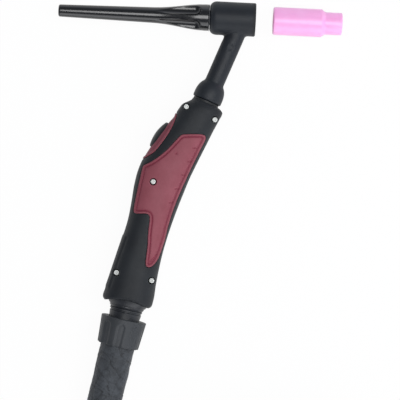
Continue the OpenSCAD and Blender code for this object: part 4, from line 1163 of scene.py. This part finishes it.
nodeFinishes = [
    (shieldFibre, ["heat_shield"]), (brass, ["head_core", "hose_coupling", "power_plug_pin", "gas_nipple"]),
    (copper, ["power_tube", "collet", "collet_body"]), (tungsten, ["tungsten_electrode"]),
    (innerNylon, ["neck_bush", "switch_plunger", "trigger_switch"]), (sealSilicone, ["cap_seal"]),
    (hoseRubber, ["switch_lead", "power_hose", "junction_boot", "handle_cable", "swivel_cable",
                  "sleeve_cuff", "lead_splitter", "power_plug_grip"]),
    (connectorSteel, ["control_plug", "control_plug_ring"])]
for finish, names in nodeFinishes:
    for name in names:
        nodes[name].data.materials.clear()
        nodes[name].data.materials.append(finish)
print("finishes given")

[tuple(p * mm) for p in evenRoute(sleeveRoute, 6)[0]]
[tuple(p * mm) for p in evenRoute(cableRoute, 6)[0]]

# the floor is a sheet of matt white paper, which also glows to the eye, so that it stays white
paperSize = {"across": 8, "z": -16.6, "glow": 0.95}
bpy.ops.mesh.primitive_plane_add(size=paperSize["across"], location=(0, 0, paperSize["z"] * mm))
floor = bpy.context.object
floor.name = "floor"
paper, tree = newFinish("whitePaperSweep")[:2]
light = addNode(tree, "Emission", {"Color": (1, 1, 1, 1), "Strength": 1.0})
matt = addNode(tree, "BsdfDiffuse", {"Color": "#f6f6f6"})
rays = addNode(tree, "LightPath", give=None)
seen = addNode(tree, "Math", {"operation": "ADD", 0: rays["Is Camera Ray"], 1: rays["Is Glossy Ray"]})
seen = addNode(tree, "Math", {"operation": "ADD", "use_clamp": True, 0: seen, 1: rays["Is Transmission Ray"]})
share = addNode(tree, "Math", {"operation": "MULTIPLY", 0: seen, 1: paperSize["glow"]})
mixed = addNode(tree, "MixShader", {0: share, 1: matt, 2: light})
addNode(tree, "OutputMaterial", {"Surface": mixed}, None)
floor.data.materials.append(paper)

# the surroundings are white at the horizon, brighter to the right, and dim overhead where the lamp hangs
world = bpy.data.worlds.new("studio")
world.use_nodes = True
bpy.context.scene.world = world
tree = world.node_tree
tree.nodes.clear()
toward = addNode(tree, "TexCoord", give="Generated")
way = addNode(tree, "SeparateXYZ", {"Vector": toward}, None)
height = addNode(tree, "MapRange", {"From Min": 0.05, "From Max": 0.6, "To Min": 1.0, "To Max": 0.25,
                                    "Value": way["Z"]})
side = addNode(tree, "MapRange", {"From Min": -1.0, "From Max": 1.0, "To Min": 0.6, "To Max": 1.5,
                                  "Value": way["X"]})
strength = addNode(tree, "Math", {"operation": "MULTIPLY", 0: height, 1: side})
sky = addNode(tree, "Background", {"Color": (0.95, 0.99, 1.09, 1), "Strength": strength})
addNode(tree, "OutputWorld", {"Surface": sky}, None)

# a long softbox hangs overhead, and a lower one stands in front
lamps = [{"at": (0.45, -0.05, 1.5), "aim": (0.45, -0.05, 0), "long": 1.6, "wide": 0.7, "power": 17},
         {"at": (0.4, -1.6, 0.7), "aim": (0, -0.1, 0), "long": 2.0, "wide": 1.3, "power": 12}]
for lamp in lamps:
    bpy.ops.object.light_add(type="AREA", location=lamp["at"])
    softbox = bpy.context.object
    softbox.data.shape = "RECTANGLE"
    softbox.data.size = lamp["long"]
    softbox.data.size_y = lamp["wide"]
    softbox.data.energy = lamp["power"]
    aim = Vector(lamp["aim"]) - Vector(lamp["at"])
    softbox.rotation_euler = aim.to_track_quat("-Z", "Y").to_euler()

bpy.context.scene.view_settings.view_transform = "Standard"
print("lit")
